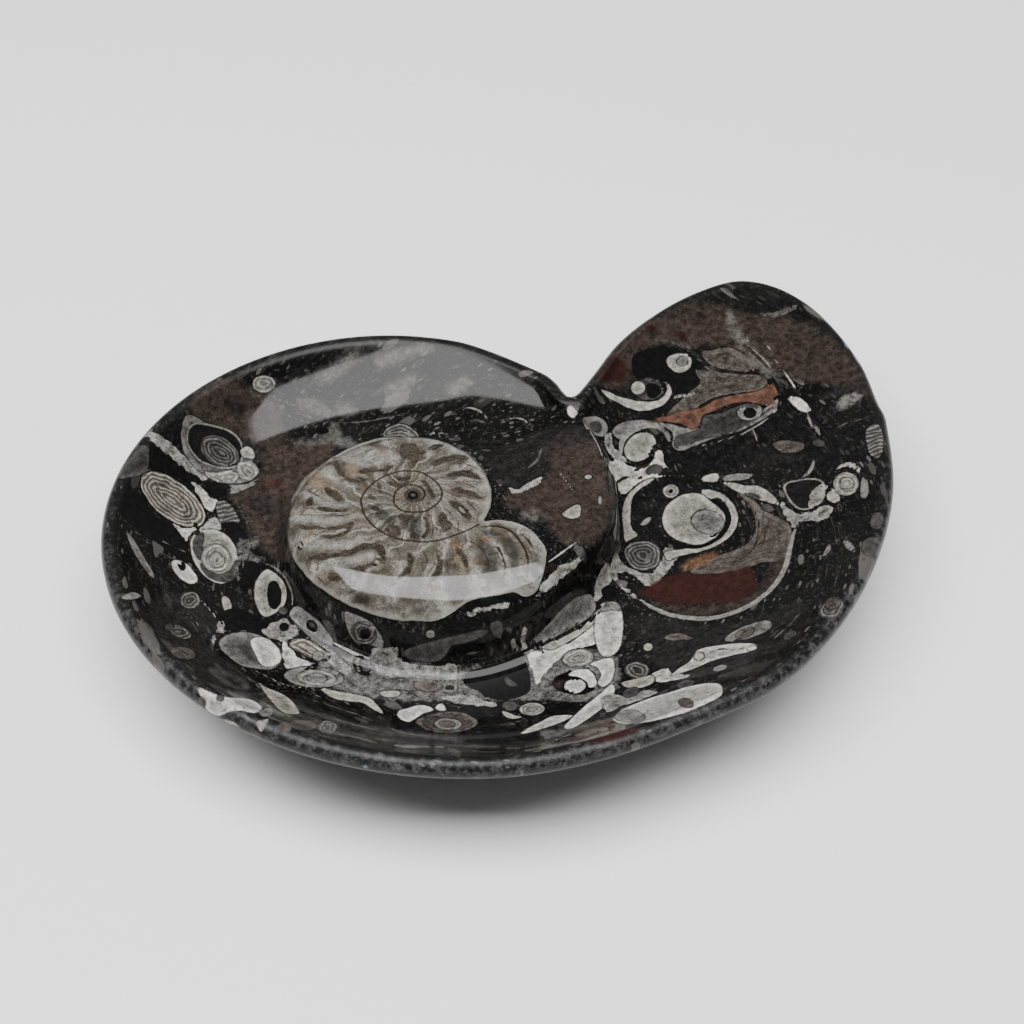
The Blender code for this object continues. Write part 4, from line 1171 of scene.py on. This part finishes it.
# Where a pixel lies in the plane of the rim, in millimetres to the right of and behind a middle
def onRimPlane(pixels):
    place, ahead, right, up = cameraAxes()
    focal = camera["lens"] / camera["sensor"] * camera["pixels"]
    half = camera["pixels"] / 2
    way = ahead * focal + right * (pixels[:, :1] - half) - up * (pixels[:, 1:] - half)
    away = (stone["rimLevel"] - place[2]) / way[:, 2:]
    flat = (place + way * away)[:, :2]
    back = np.array([-right[1], right[0]])
    return np.stack([flat @ right[:2], flat @ back], 1)


# Turns along the ammonite's spiral, which grow steadily outward and along each whorl
def spiralPlaces(canvas, piece):
    middle = onRimPlane(np.array([ammonite["middle"]], float))
    seam = onRimPlane(smoothCurve(ammonite["seam"], False)) - middle
    turns = np.unwrap(np.arctan2(seam[:, 1], seam[:, 0])) / (2 * pi)
    turns = np.maximum.accumulate(turns + np.arange(len(turns)) * 1e-6)
    turns -= round(turns[0])
    size = np.log(np.hypot(seam[:, 0], seam[:, 1]))
    at = onRimPlane(canvas["photo"]) - middle
    angle = np.arctan2(at[:, 1], at[:, 0]) / (2 * pi)
    far = np.log(np.maximum(np.hypot(at[:, 0], at[:, 1]), 0.2))
    growth = (size[-1] - size[0]) / (turns[-1] - turns[0])

    def seamSize(turn):
        inner = size[0] + (turn - turns[0]) * growth
        outer = size[-1] + (turn - turns[-1]) * growth
        along = np.where(turn > turns[-1], outer, np.interp(turn, turns, size))
        return np.where(turn < turns[0], inner, along)

    whorl = np.full(len(at), -3.0)
    for k in range(-3, 5):
        whorl = np.where(far >= seamSize(angle + k), k, whorl)
    low, high = seamSize(angle + whorl), seamSize(angle + whorl + 1)
    spiral = angle + whorl + (far - low) / (high - low)
    storeAttribute(piece.data, "spiral", np.column_stack([at, spiral]), "POINT")
    margin = paint["edgeMargin"]
    near, d = insideDistance(canvas, "photo", smoothCurve(ammonite["outline"], True), True, 0.0, margin)[:2]
    inside = np.full(len(at), -margin)
    inside[near] = d
    storeAttribute(piece.data, "ammonite", np.column_stack([inside, inside * 0, inside * 0]), "POINT")
    print("spiral from", round(float(turns[0]), 2), "to", round(float(turns[-1]), 2), "turns")


# Node helpers: a value is a number, a colour or the socket of another node
def give(tree, value, socket):
    if isinstance(value, bpy.types.NodeSocket):
        tree.links.new(value, socket)
    else:
        socket.default_value = value


def maths(tree, operation, *values):
    node = tree.nodes.new("ShaderNodeMath")
    node.operation = operation
    for value, socket in zip(values, node.inputs):
        give(tree, value, socket)
    return node.outputs[0]


def vectorMaths(tree, operation, a, b):
    node = tree.nodes.new("ShaderNodeVectorMath")
    node.operation = operation
    give(tree, a, node.inputs[0])
    give(tree, b, node.inputs["Scale" if operation == "SCALE" else 1])
    return node.outputs[1 if operation in ("LENGTH", "DOT_PRODUCT") else 0]


def ramped(tree, value, low, high, first=0.0, last=1.0, way="SMOOTHSTEP"):
    node = tree.nodes.new("ShaderNodeMapRange")
    node.interpolation_type = way
    given = {"Value": value, "From Min": low, "From Max": high, "To Min": first, "To Max": last}
    for name, given in given.items():
        give(tree, given, node.inputs[name])
    return node.outputs[0]


def blend(tree, factor, a, b):
    node = tree.nodes.new("ShaderNodeMix")
    node.data_type = "RGBA"
    give(tree, factor, node.inputs[0])
    give(tree, a, node.inputs[6])
    give(tree, b, node.inputs[7])
    return node.outputs[2]


def noise(tree, at, scale, detail=2.0, rough=0.5):
    node = tree.nodes.new("ShaderNodeTexNoise")
    give(tree, at, node.inputs["Vector"])
    for name, given in (("Scale", scale), ("Detail", detail), ("Roughness", rough)):
        node.inputs[name].default_value = given
    return node.outputs["Fac"]


def split(tree, vector):
    node = tree.nodes.new("ShaderNodeSeparateXYZ")
    give(tree, vector, node.inputs[0])
    return node.outputs[0], node.outputs[1], node.outputs[2]


def joined(tree, x, y, z):
    node = tree.nodes.new("ShaderNodeCombineXYZ")
    for value, socket in zip((x, y, z), node.inputs):
        give(tree, value, socket)
    return node.outputs[0]


def tinted(tree, factor, colour):
    return vectorMaths(tree, "SCALE", colour, factor)


def named(tree, name):
    node = tree.nodes.new("ShaderNodeAttribute")
    node.attribute_name = name
    return node.outputs["Vector"]


def makeGroup(name, inputs):
    group = bpy.data.node_groups.new(name, "ShaderNodeTree")
    for title, kind in inputs:
        group.interface.new_socket(title, in_out="INPUT", socket_type="NodeSocket" + kind)
    group.interface.new_socket("Colour", in_out="OUTPUT", socket_type="NodeSocketColor")
    start = group.nodes.new("NodeGroupInput")
    end = group.nodes.new("NodeGroupOutput")
    return group, start.outputs, end.inputs[0]


def useGroup(tree, group, *values):
    node = tree.nodes.new("ShaderNodeGroup")
    node.node_tree = group
    for value, socket in zip(values, node.inputs):
        give(tree, value, socket)
    return node.outputs[0]


# A colour ramp holds values up to 1, so longer ones are packed smaller and unpacked in the group
packing = {"stops": 32, "lengths": 5.0, "softness": 3.0}


# One stop for every look: the ramps hand a look's values to the shader
def lookRamp(tree, position, values):
    node = tree.nodes.new("ShaderNodeValToRGB")
    node.color_ramp.interpolation = "CONSTANT"
    stops = node.color_ramp.elements
    give(tree, position, node.inputs[0])
    for k, name in enumerate(looks):
        stop = stops[k] if k < 1 else stops.new(k / packing["stops"])
        stop.position = k / packing["stops"]
        stop.color = values({**plainLook, **looks[name]})
    stops.remove(stops[len(stops) - 1])
    return node.outputs[0], node.outputs[1]


# How every fossil section is drawn; from and to are where an effect begins and is full, in millimetres
section = {
    "wander": 7.0,            # how far a rough edge wanders
    "sharpest": 0.06,         # half width of the sharpest edge
    "ringBend": 1.6,
    "ringWave": (-0.2, 0.7),
    "wallEdge": (0.12, -0.12),
    "seedTone": 0.3,
    "evenTone": 0.98,
    "border": (2.6, 0.2),
    "borderTone": (1.3, -0.6),
    "veins": 0.42,
    "grain": (0.50, 0.14),
    "edgeLine": (0.08, 0.20, 0.04),      # its place inside the edge, from and to
    "darkest": 0.05,
    "haloFromTo": (0.38, 0.05),
    "echoLine": (0.85, 0.22, 0.08),      # its place outside the edge, from and to
}


def fossilGroup():
    inputs = [("Under", "Color"), ("Shape", "Vector"), ("Look", "Vector"), ("Fields", "Vector"),
              ("Lines", "Vector")]
    tree, given, result = makeGroup("fossilLayer", inputs)
    under, shape, look, fields, lines = (given[k] for k in range(5))
    d, u = split(tree, shape)[:2]
    position, seed = split(tree, look)[:2]
    wander, cloud, grit = split(tree, fields)
    bend, vein = split(tree, lines)[:2]
    long, softest = packing["lengths"], packing["softness"]
    fill, wall = lookRamp(tree, position, lambda look: (*look["fill"], look["wall"] / long))
    rim, step = lookRamp(tree, position, lambda look: (*(look["rim"] or look["fill"]), look["step"] / long))
    inner, cover = lookRamp(tree, position, lambda look: (look["deepen"] / 2 + 0.5, look["echo"], 0,
                                                          look["cover"]))
    lined, rough = lookRamp(tree, position, lambda look: (look["rings"], look["stripes"], look["mottle"],
                                                          look["rough"] / softest))
    finish = lookRamp(tree, position, lambda look: (look["soft"] / softest, look["edge"], look["grain"],
                                                    1))[0]
    rings, stripes, mottle = split(tree, lined)
    soft, edge, grain = split(tree, finish)
    deepen, echo = split(tree, inner)[:2]
    deepen = maths(tree, "MULTIPLY_ADD", deepen, 2.0, -1.0)
    wall = maths(tree, "MULTIPLY", wall, long)
    step = maths(tree, "MULTIPLY", step, long)
    d = maths(tree, "MULTIPLY_ADD", wander, maths(tree, "MULTIPLY", rough, section["wander"]), d)
    width = maths(tree, "MULTIPLY_ADD", soft, softest, section["sharpest"])
    inside = ramped(tree, d, maths(tree, "MULTIPLY", width, -1.0), width)

    # Rings along the edge or stripes across the length, both as thin uneven lines
    bend = maths(tree, "MULTIPLY_ADD", bend, section["ringBend"], seed)
    colour = fill
    for lengthwise, strength in ((d, rings), (u, stripes)):
        phase = maths(tree, "ADD", maths(tree, "DIVIDE", lengthwise, step), bend)
        wave = maths(tree, "SINE", maths(tree, "MULTIPLY", phase, 2 * pi))
        ring = ramped(tree, wave, *section["ringWave"])
        colour = blend(tree, maths(tree, "MULTIPLY", ring, strength), colour, rim)
    colour = blend(tree, ramped(tree, maths(tree, "SUBTRACT", d, wall), *section["wallEdge"]), colour, rim)

    # Cloudiness, dark veins, fine grain and the dark line along the edge
    tone = maths(tree, "MULTIPLY_ADD", seed, section["seedTone"], cloud)
    factor = maths(tree, "MULTIPLY_ADD", tone, mottle, section["evenTone"])
    border = maths(tree, "MULTIPLY_ADD", ramped(tree, d, *section["border"]), *section["borderTone"])
    factor = maths(tree, "MULTIPLY", factor, maths(tree, "MULTIPLY_ADD", border, deepen, 1.0))
    dark = maths(tree, "MULTIPLY", vein, maths(tree, "MULTIPLY", mottle, section["veins"]))
    factor = maths(tree, "MULTIPLY", factor, maths(tree, "SUBTRACT", 1.0, dark))
    factor = maths(tree, "MULTIPLY_ADD", grit, maths(tree, "MULTIPLY_ADD", grain, *section["grain"]), factor)
    at, low, high = section["edgeLine"]
    line = ramped(tree, maths(tree, "ABSOLUTE", maths(tree, "SUBTRACT", d, at)), low, high)
    factor = maths(tree, "MULTIPLY", factor,
                   maths(tree, "SUBTRACT", 1.0, maths(tree, "MULTIPLY", line, edge)))
    colour = tinted(tree, maths(tree, "MAXIMUM", factor, section["darkest"]), colour)
    halo = ramped(tree, maths(tree, "ABSOLUTE", d), *section["haloFromTo"])
    halo = maths(tree, "MULTIPLY", halo, edge)
    at, low, high = section["echoLine"]
    beside = ramped(tree, maths(tree, "ABSOLUTE", maths(tree, "ADD", d, at)), low, high)
    halo = maths(tree, "MAXIMUM", halo, maths(tree, "MULTIPLY", beside, echo))
    under = tinted(tree, maths(tree, "SUBTRACT", 1.0, halo), under)
    colour = blend(tree, maths(tree, "MULTIPLY", inside, cover), under, colour)
    tree.links.new(colour, result)
    return tree


fragment = {
    "unevenness": (0.9, 0.25),           # cells of its noise per cell, and how far the edge moves
    "radius": (0.26, 0.08),              # range and least, in cells
    "discEdge": (0.03, -0.03),
    "ringEdge": (0.07, 0.02),
    "hollow": (0.40, 0.45, 0.25, 1.0),   # tones below the first are rings with a weak fill
    "brightness": (0.1, 1.0, 0.35, 1.9),
    "colour": (0.060, 0.057, 0.053),
}


# Shell fragments that lie along the rim, as small ovals, discs and thin rings: cells of a Voronoi
# pattern wound round the plate, each with its own size, tone and chance of being there
def fragmentGroup():
    inputs = [("Under", "Color"), ("Wound", "Vector"), ("Scale", "Float"), ("Share", "Float")]
    tree, given, result = makeGroup("fragmentLayer", inputs)
    under, wound, scale, share = (given[k] for k in range(4))
    cells = tree.nodes.new("ShaderNodeTexVoronoi")
    give(tree, wound, cells.inputs["Vector"])
    give(tree, scale, cells.inputs["Scale"])
    tone, chance, kind = split(tree, cells.outputs["Color"])
    fineness, far = fragment["unevenness"]
    uneven = maths(tree, "SUBTRACT", noise(tree, wound, fineness, 2.0), 0.5)
    away = maths(tree, "MULTIPLY_ADD", uneven, far, cells.outputs["Distance"])
    radius = maths(tree, "MULTIPLY_ADD", kind, *fragment["radius"])
    beyond = maths(tree, "SUBTRACT", away, radius)
    disc = ramped(tree, beyond, *fragment["discEdge"])
    ring = ramped(tree, maths(tree, "ABSOLUTE", beyond), *fragment["ringEdge"])
    solid = ramped(tree, tone, *fragment["hollow"])
    shape = maths(tree, "MAXIMUM", maths(tree, "MULTIPLY", disc, solid), ring)
    there = maths(tree, "LESS_THAN", chance, share)
    colour = tinted(tree, ramped(tree, tone, *fragment["brightness"]), fragment["colour"])
    colour = blend(tree, maths(tree, "MULTIPLY", shape, there), under, colour)
    tree.links.new(colour, result)
    return tree


# The ammonite cut through the middle; the small numbers are shares of a chamber or a whorl
def ammoniteColour(tree, under, place):
    x, y, spiral = split(tree, named(tree, "spiral"))
    edge = split(tree, named(tree, "ammonite"))[0]
    wander = maths(tree, "SUBTRACT", noise(tree, place, 0.35, 3.0), 0.5)
    angle = maths(tree, "DIVIDE", maths(tree, "ARCTAN2", y, x), 2 * pi)
    across = maths(tree, "FRACT", maths(tree, "SUBTRACT", spiral, angle))
    turns = maths(tree, "SUBTRACT", spiral, across)
    radius = vectorMaths(tree, "LENGTH", joined(tree, x, y, 0.0), (0, 0, 0))
    middle = maths(tree, "SUBTRACT", across, 0.5)
    bow = maths(tree, "MULTIPLY", maths(tree, "MULTIPLY", middle, middle), -4 * ammonite["bow"])
    lean = maths(tree, "MULTIPLY_ADD", across, ammonite["sweep"], bow)
    phase = maths(tree, "MULTIPLY_ADD", turns, ammonite["chambers"], lean)
    phase = maths(tree, "MULTIPLY_ADD", wander, 1.1, phase)
    cell = maths(tree, "FLOOR", phase)
    share = maths(tree, "SUBTRACT", phase, cell)
    cellNoise = tree.nodes.new("ShaderNodeTexWhiteNoise")
    cellNoise.noise_dimensions = "1D"
    give(tree, cell, cellNoise.inputs["W"])
    chance = cellNoise.outputs["Value"]

    # Cloudy chambers, a pale wall with a dark line at each, and streaks along them
    cloud = noise(tree, place, 0.22, 5.0, 0.6)
    colour = blend(tree, ramped(tree, cloud, 0.40, 0.62), ammonite["pale"], ammonite["beige"])
    filled = ramped(tree, maths(tree, "ABSOLUTE", maths(tree, "SUBTRACT", share, 0.55)), 0.30, 0.10)
    filled = maths(tree, "MULTIPLY", filled, ramped(tree, chance, 0.1, 0.6, 0.5, 1.0))
    colour = blend(tree, maths(tree, "MULTIPLY", filled, 0.7), colour, ammonite["dim"])
    wall = maths(tree, "ABSOLUTE", maths(tree, "SUBTRACT", share, 0.12))
    colour = blend(tree, ramped(tree, wall, 0.13, 0.05, 0.0, 0.6), colour, ammonite["wallPale"])
    line = maths(tree, "MULTIPLY", maths(tree, "MINIMUM", share, maths(tree, "SUBTRACT", 1.0, share)), radius)
    colour = blend(tree, ramped(tree, line, 0.9, 0.35, 0.0, 0.5), colour, ammonite["wallDark"])
    drawn = joined(tree, maths(tree, "MULTIPLY", phase, 4.5), maths(tree, "MULTIPLY", across, 1.5), 0.0)
    streaks = noise(tree, drawn, 1.0, 3.0, 0.6)
    colour = tinted(tree, ramped(tree, streaks, 0.30, 0.70, 0.68, 1.28), colour)

    # Living chamber with growth lines, towards the mouth
    mouth = ramped(tree, turns, *ammonite["mouthAt"])
    growth = maths(tree, "SINE", maths(tree, "MULTIPLY", phase, 2 * pi * ammonite["growthLines"]))
    growth = ramped(tree, growth, 0.2, 0.9, 0.0, 0.4)
    chamber = blend(tree, growth, ammonite["growthPale"], ammonite["growthDark"])
    colour = blend(tree, mouth, colour, chamber)

    # Seam, grit, rusty patches and the pale border with a dark line round it
    seam = maths(tree, "MINIMUM", across, maths(tree, "SUBTRACT", 1.0, across))
    seam = maths(tree, "MULTIPLY", seam, radius)
    colour = blend(tree, ramped(tree, seam, 0.42, 0.20, 0.0, 0.9), colour, ammonite["seamDark"])
    grit = ramped(tree, noise(tree, place, 2.6, 3.0, 0.65), 0.3, 0.7, 0.62, 1.3)
    colour = tinted(tree, grit, colour)
    rust = noise(tree, vectorMaths(tree, "ADD", place, (40, 0, 0)), 0.16, 4.0)
    colour = blend(tree, ramped(tree, rust, 0.60, 0.72, 0.0, 0.35), colour, ammonite["rust"])
    border = ramped(tree, maths(tree, "MULTIPLY_ADD", wander, 4.0, edge), 2.0, 0.5, 0.0, 0.5)
    colour = blend(tree, border, colour, ammonite["wallPale"])
    edge = maths(tree, "MULTIPLY_ADD", wander, 0.7, edge)
    under = tinted(tree, ramped(tree, maths(tree, "ABSOLUTE", edge), 0.5, 0.1, 1.0, 0.35), under)
    return blend(tree, ramped(tree, edge, -0.06, 0.06), under, colour)


# The ground between the fossils, in black and dark grey, and what is ground small in it
ground = {
    "black": (0.0045, 0.0045, 0.0045, 1),
    "grey": (0.0095, 0.0092, 0.0089, 1),
    "fleck": (0.085, 0.082, 0.077, 1),
    "windRadius": 25.0,
    "fragments": [(0.17, 0.20), (0.42, 0.34), (0.95, 0.50)],    # cells per millimetre, share of cells
    "tone": 0.66,
    "specular": 0.22,
    "roughness": (0.06, 0.12),
    "rimRoughness": 0.38,
    "rimWearAndSheen": (0.100, 0.100, 0.104, 1),
}


def stoneMaterial(piece):
    material = bpy.data.materials.new("polishedStone")
    material.use_nodes = True
    tree = material.node_tree
    shader = tree.nodes["Principled BSDF"]
    coordinates = tree.nodes.new("ShaderNodeTexCoord")
    place = vectorMaths(tree, "SCALE", coordinates.outputs["Object"], 1000.0)
    x, y = split(tree, place)[:2]
    flat = joined(tree, x, y, 0.0)
    away = vectorMaths(tree, "LENGTH", flat, (0, 0, 0))
    outward = tree.nodes.new("ShaderNodeVectorMath")
    outward.operation = "NORMALIZE"
    give(tree, flat, outward.inputs[0])
    circle = vectorMaths(tree, "SCALE", outward.outputs[0], ground["windRadius"])
    wound = vectorMaths(tree, "ADD", circle, joined(tree, 0.0, 0.0, away))

    # Noises that every layer shares
    wander = maths(tree, "SUBTRACT", noise(tree, place, 0.45, 3.0), 0.5)
    cloud = ramped(tree, noise(tree, place, 0.55, 5.0, 0.65), 0.28, 0.72, -0.7, 0.5)
    grit = ramped(tree, noise(tree, place, 3.2, 2.0, 0.6), 0.34, 0.66, -0.75, 0.75)
    bend = noise(tree, place, 0.30, 2.0)
    ridge = maths(tree, "ABSOLUTE", maths(tree, "SUBTRACT", noise(tree, place, 0.42, 4.0, 0.6), 0.5))
    vein = ramped(tree, ridge, 0.030, 0.004)
    fields = joined(tree, wander, cloud, grit)
    lines = joined(tree, bend, vein, 0.0)

    soot = noise(tree, place, 0.05, 6.0, 0.68)
    colour = blend(tree, ramped(tree, soot, 0.40, 0.66), ground["black"], ground["grey"])
    fleck = ramped(tree, noise(tree, place, 0.9, 4.0, 0.65), 0.54, 0.70)
    colour = blend(tree, maths(tree, "MULTIPLY", fleck, 0.6), colour, ground["fleck"])
    small = fragmentGroup()
    for scale, share in ground["fragments"]:
        colour = useGroup(tree, small, colour, wound, scale, share)
    streak = noise(tree, vectorMaths(tree, "MULTIPLY", wound, (0.25, 0.25, 3.0)), 1.0, 3.0, 0.6)
    colour = blend(tree, ramped(tree, streak, 0.60, 0.72, 0.0, 0.5), colour, ground["fleck"])
    colour = ammoniteColour(tree, colour, place)
    layer = fossilGroup()
    for k in range(paint["layers"]):
        shape, look = named(tree, "shape" + str(k)), named(tree, "look" + str(k))
        colour = useGroup(tree, layer, colour, shape, look, fields, lines)
    colour = tinted(tree, ramped(tree, grit, -0.75, 0.75, 0.86, 1.14), colour)

    # Silver-grey along the rim, stronger towards the front: partly wear, partly painted sheen that stands in
    # for the rim's highlight
    beside = split(tree, named(tree, "rim"))[0]
    wearAndSheenBand = ramped(tree, maths(tree, "MULTIPLY_ADD", wander, 6.0, beside), 2.6, 0.8)
    front = ramped(tree, maths(tree, "ADD", y, maths(tree, "MULTIPLY", x, 0.15)), 40.0, -45.0, 0.25, 1.0)
    patchy = ramped(tree, noise(tree, place, 0.5, 6.0, 0.75), 0.44, 0.62, 0.0, 0.7)
    patchy = maths(tree, "MULTIPLY", patchy, front)
    colour = blend(tree, maths(tree, "MULTIPLY", wearAndSheenBand, patchy), colour, ground["rimWearAndSheen"])
    smooth = ramped(tree, cloud, -0.7, 0.5, *ground["roughness"])
    tree.links.new(tinted(tree, ground["tone"], colour), shader.inputs["Base Color"])
    matt = ramped(tree, beside, 5.5, 2.0)
    give(tree, ramped(tree, matt, 0.0, 1.0, smooth, ground["rimRoughness"]), shader.inputs["Roughness"])
    shader.inputs["Specular IOR Level"].default_value = ground["specular"]
    edge = split(tree, named(tree, "ammonite"))[0]
    give(tree, ramped(tree, edge, 0.0, 0.6, 0.0, ammonite["polish"]), shader.inputs["Coat Weight"])
    shader.inputs["Coat Roughness"].default_value = ammonite["polishRoughness"]
    piece.data.materials.append(material)
    print("stone material made")


floor = {"size": 4.0, "colour": (0.92, 0.92, 0.92, 1), "roughness": 0.7, "specular": 0.2}


def makeFloor():
    bm = bmesh.new()
    bmesh.ops.create_grid(bm, x_segments=1, y_segments=1, size=floor["size"] / 2)
    mesh = bpy.data.meshes.new("paleFloor")
    bm.to_mesh(mesh)
    bm.free()
    plain = bpy.data.objects.new("paleFloor", mesh)
    bpy.context.scene.collection.objects.link(plain)
    material = bpy.data.materials.new("paleFloor")
    material.use_nodes = True
    shader = material.node_tree.nodes["Principled BSDF"]
    shader.inputs["Base Color"].default_value = floor["colour"]
    shader.inputs["Roughness"].default_value = floor["roughness"]
    shader.inputs["Specular IOR Level"].default_value = floor["specular"]
    mesh.materials.append(material)
    print("floor laid")


# Light: a big softbox above and a dim room
light = {
    "height": 1.6,
    "side": (-0.80, 0.66),    # edges to the right of the camera's line of sight, per metre of height
    "back": (-0.53, 0.17),
    "corner": (0.42, 0.12),   # where the box ends in its slanted corner: side plus back, and softness
    "power": 82.0,
    "room": 0.18,
}


def makeLight():
    turn = -radians(camera["turn"])
    height = light["height"]
    side, back = sum(light["side"]) / 2 * height, sum(light["back"]) / 2 * height
    data = bpy.data.lights.new("softbox", "AREA")
    data.shape = "RECTANGLE"
    data.size = (light["side"][1] - light["side"][0]) * height
    data.size_y = (light["back"][1] - light["back"][0]) * height
    data.energy = light["power"]
    data.use_nodes = True
    tree = data.node_tree
    across, along = split(tree, tree.nodes.new("ShaderNodeNewGeometry").outputs["Parametric"])[:2]
    across = ramped(tree, across, 0.0, 1.0, *light["side"], "LINEAR")
    along = ramped(tree, along, 0.0, 1.0, *light["back"], "LINEAR")
    end, soft = light["corner"]
    lit = ramped(tree, maths(tree, "ADD", across, along), end + soft / 2, end - soft / 2)
    give(tree, lit, tree.nodes["Emission"].inputs["Strength"])
    lamp = bpy.data.objects.new("softbox", data)
    bpy.context.scene.collection.objects.link(lamp)
    lamp.location = (side * cos(turn) - back * sin(turn), side * sin(turn) + back * cos(turn), height)
    lamp.rotation_euler = (0, 0, turn)
    world = bpy.data.worlds.new("room")
    world.use_nodes = True
    world.node_tree.nodes["Background"].inputs["Color"].default_value = (1, 1, 1, 1)
    world.node_tree.nodes["Background"].inputs["Strength"].default_value = light["room"]
    bpy.context.scene.world = world
    print("light hung")


makeCamera()
piece = makeStone()
paintFossils(piece)
stoneMaterial(piece)
makeFloor()
makeLight()
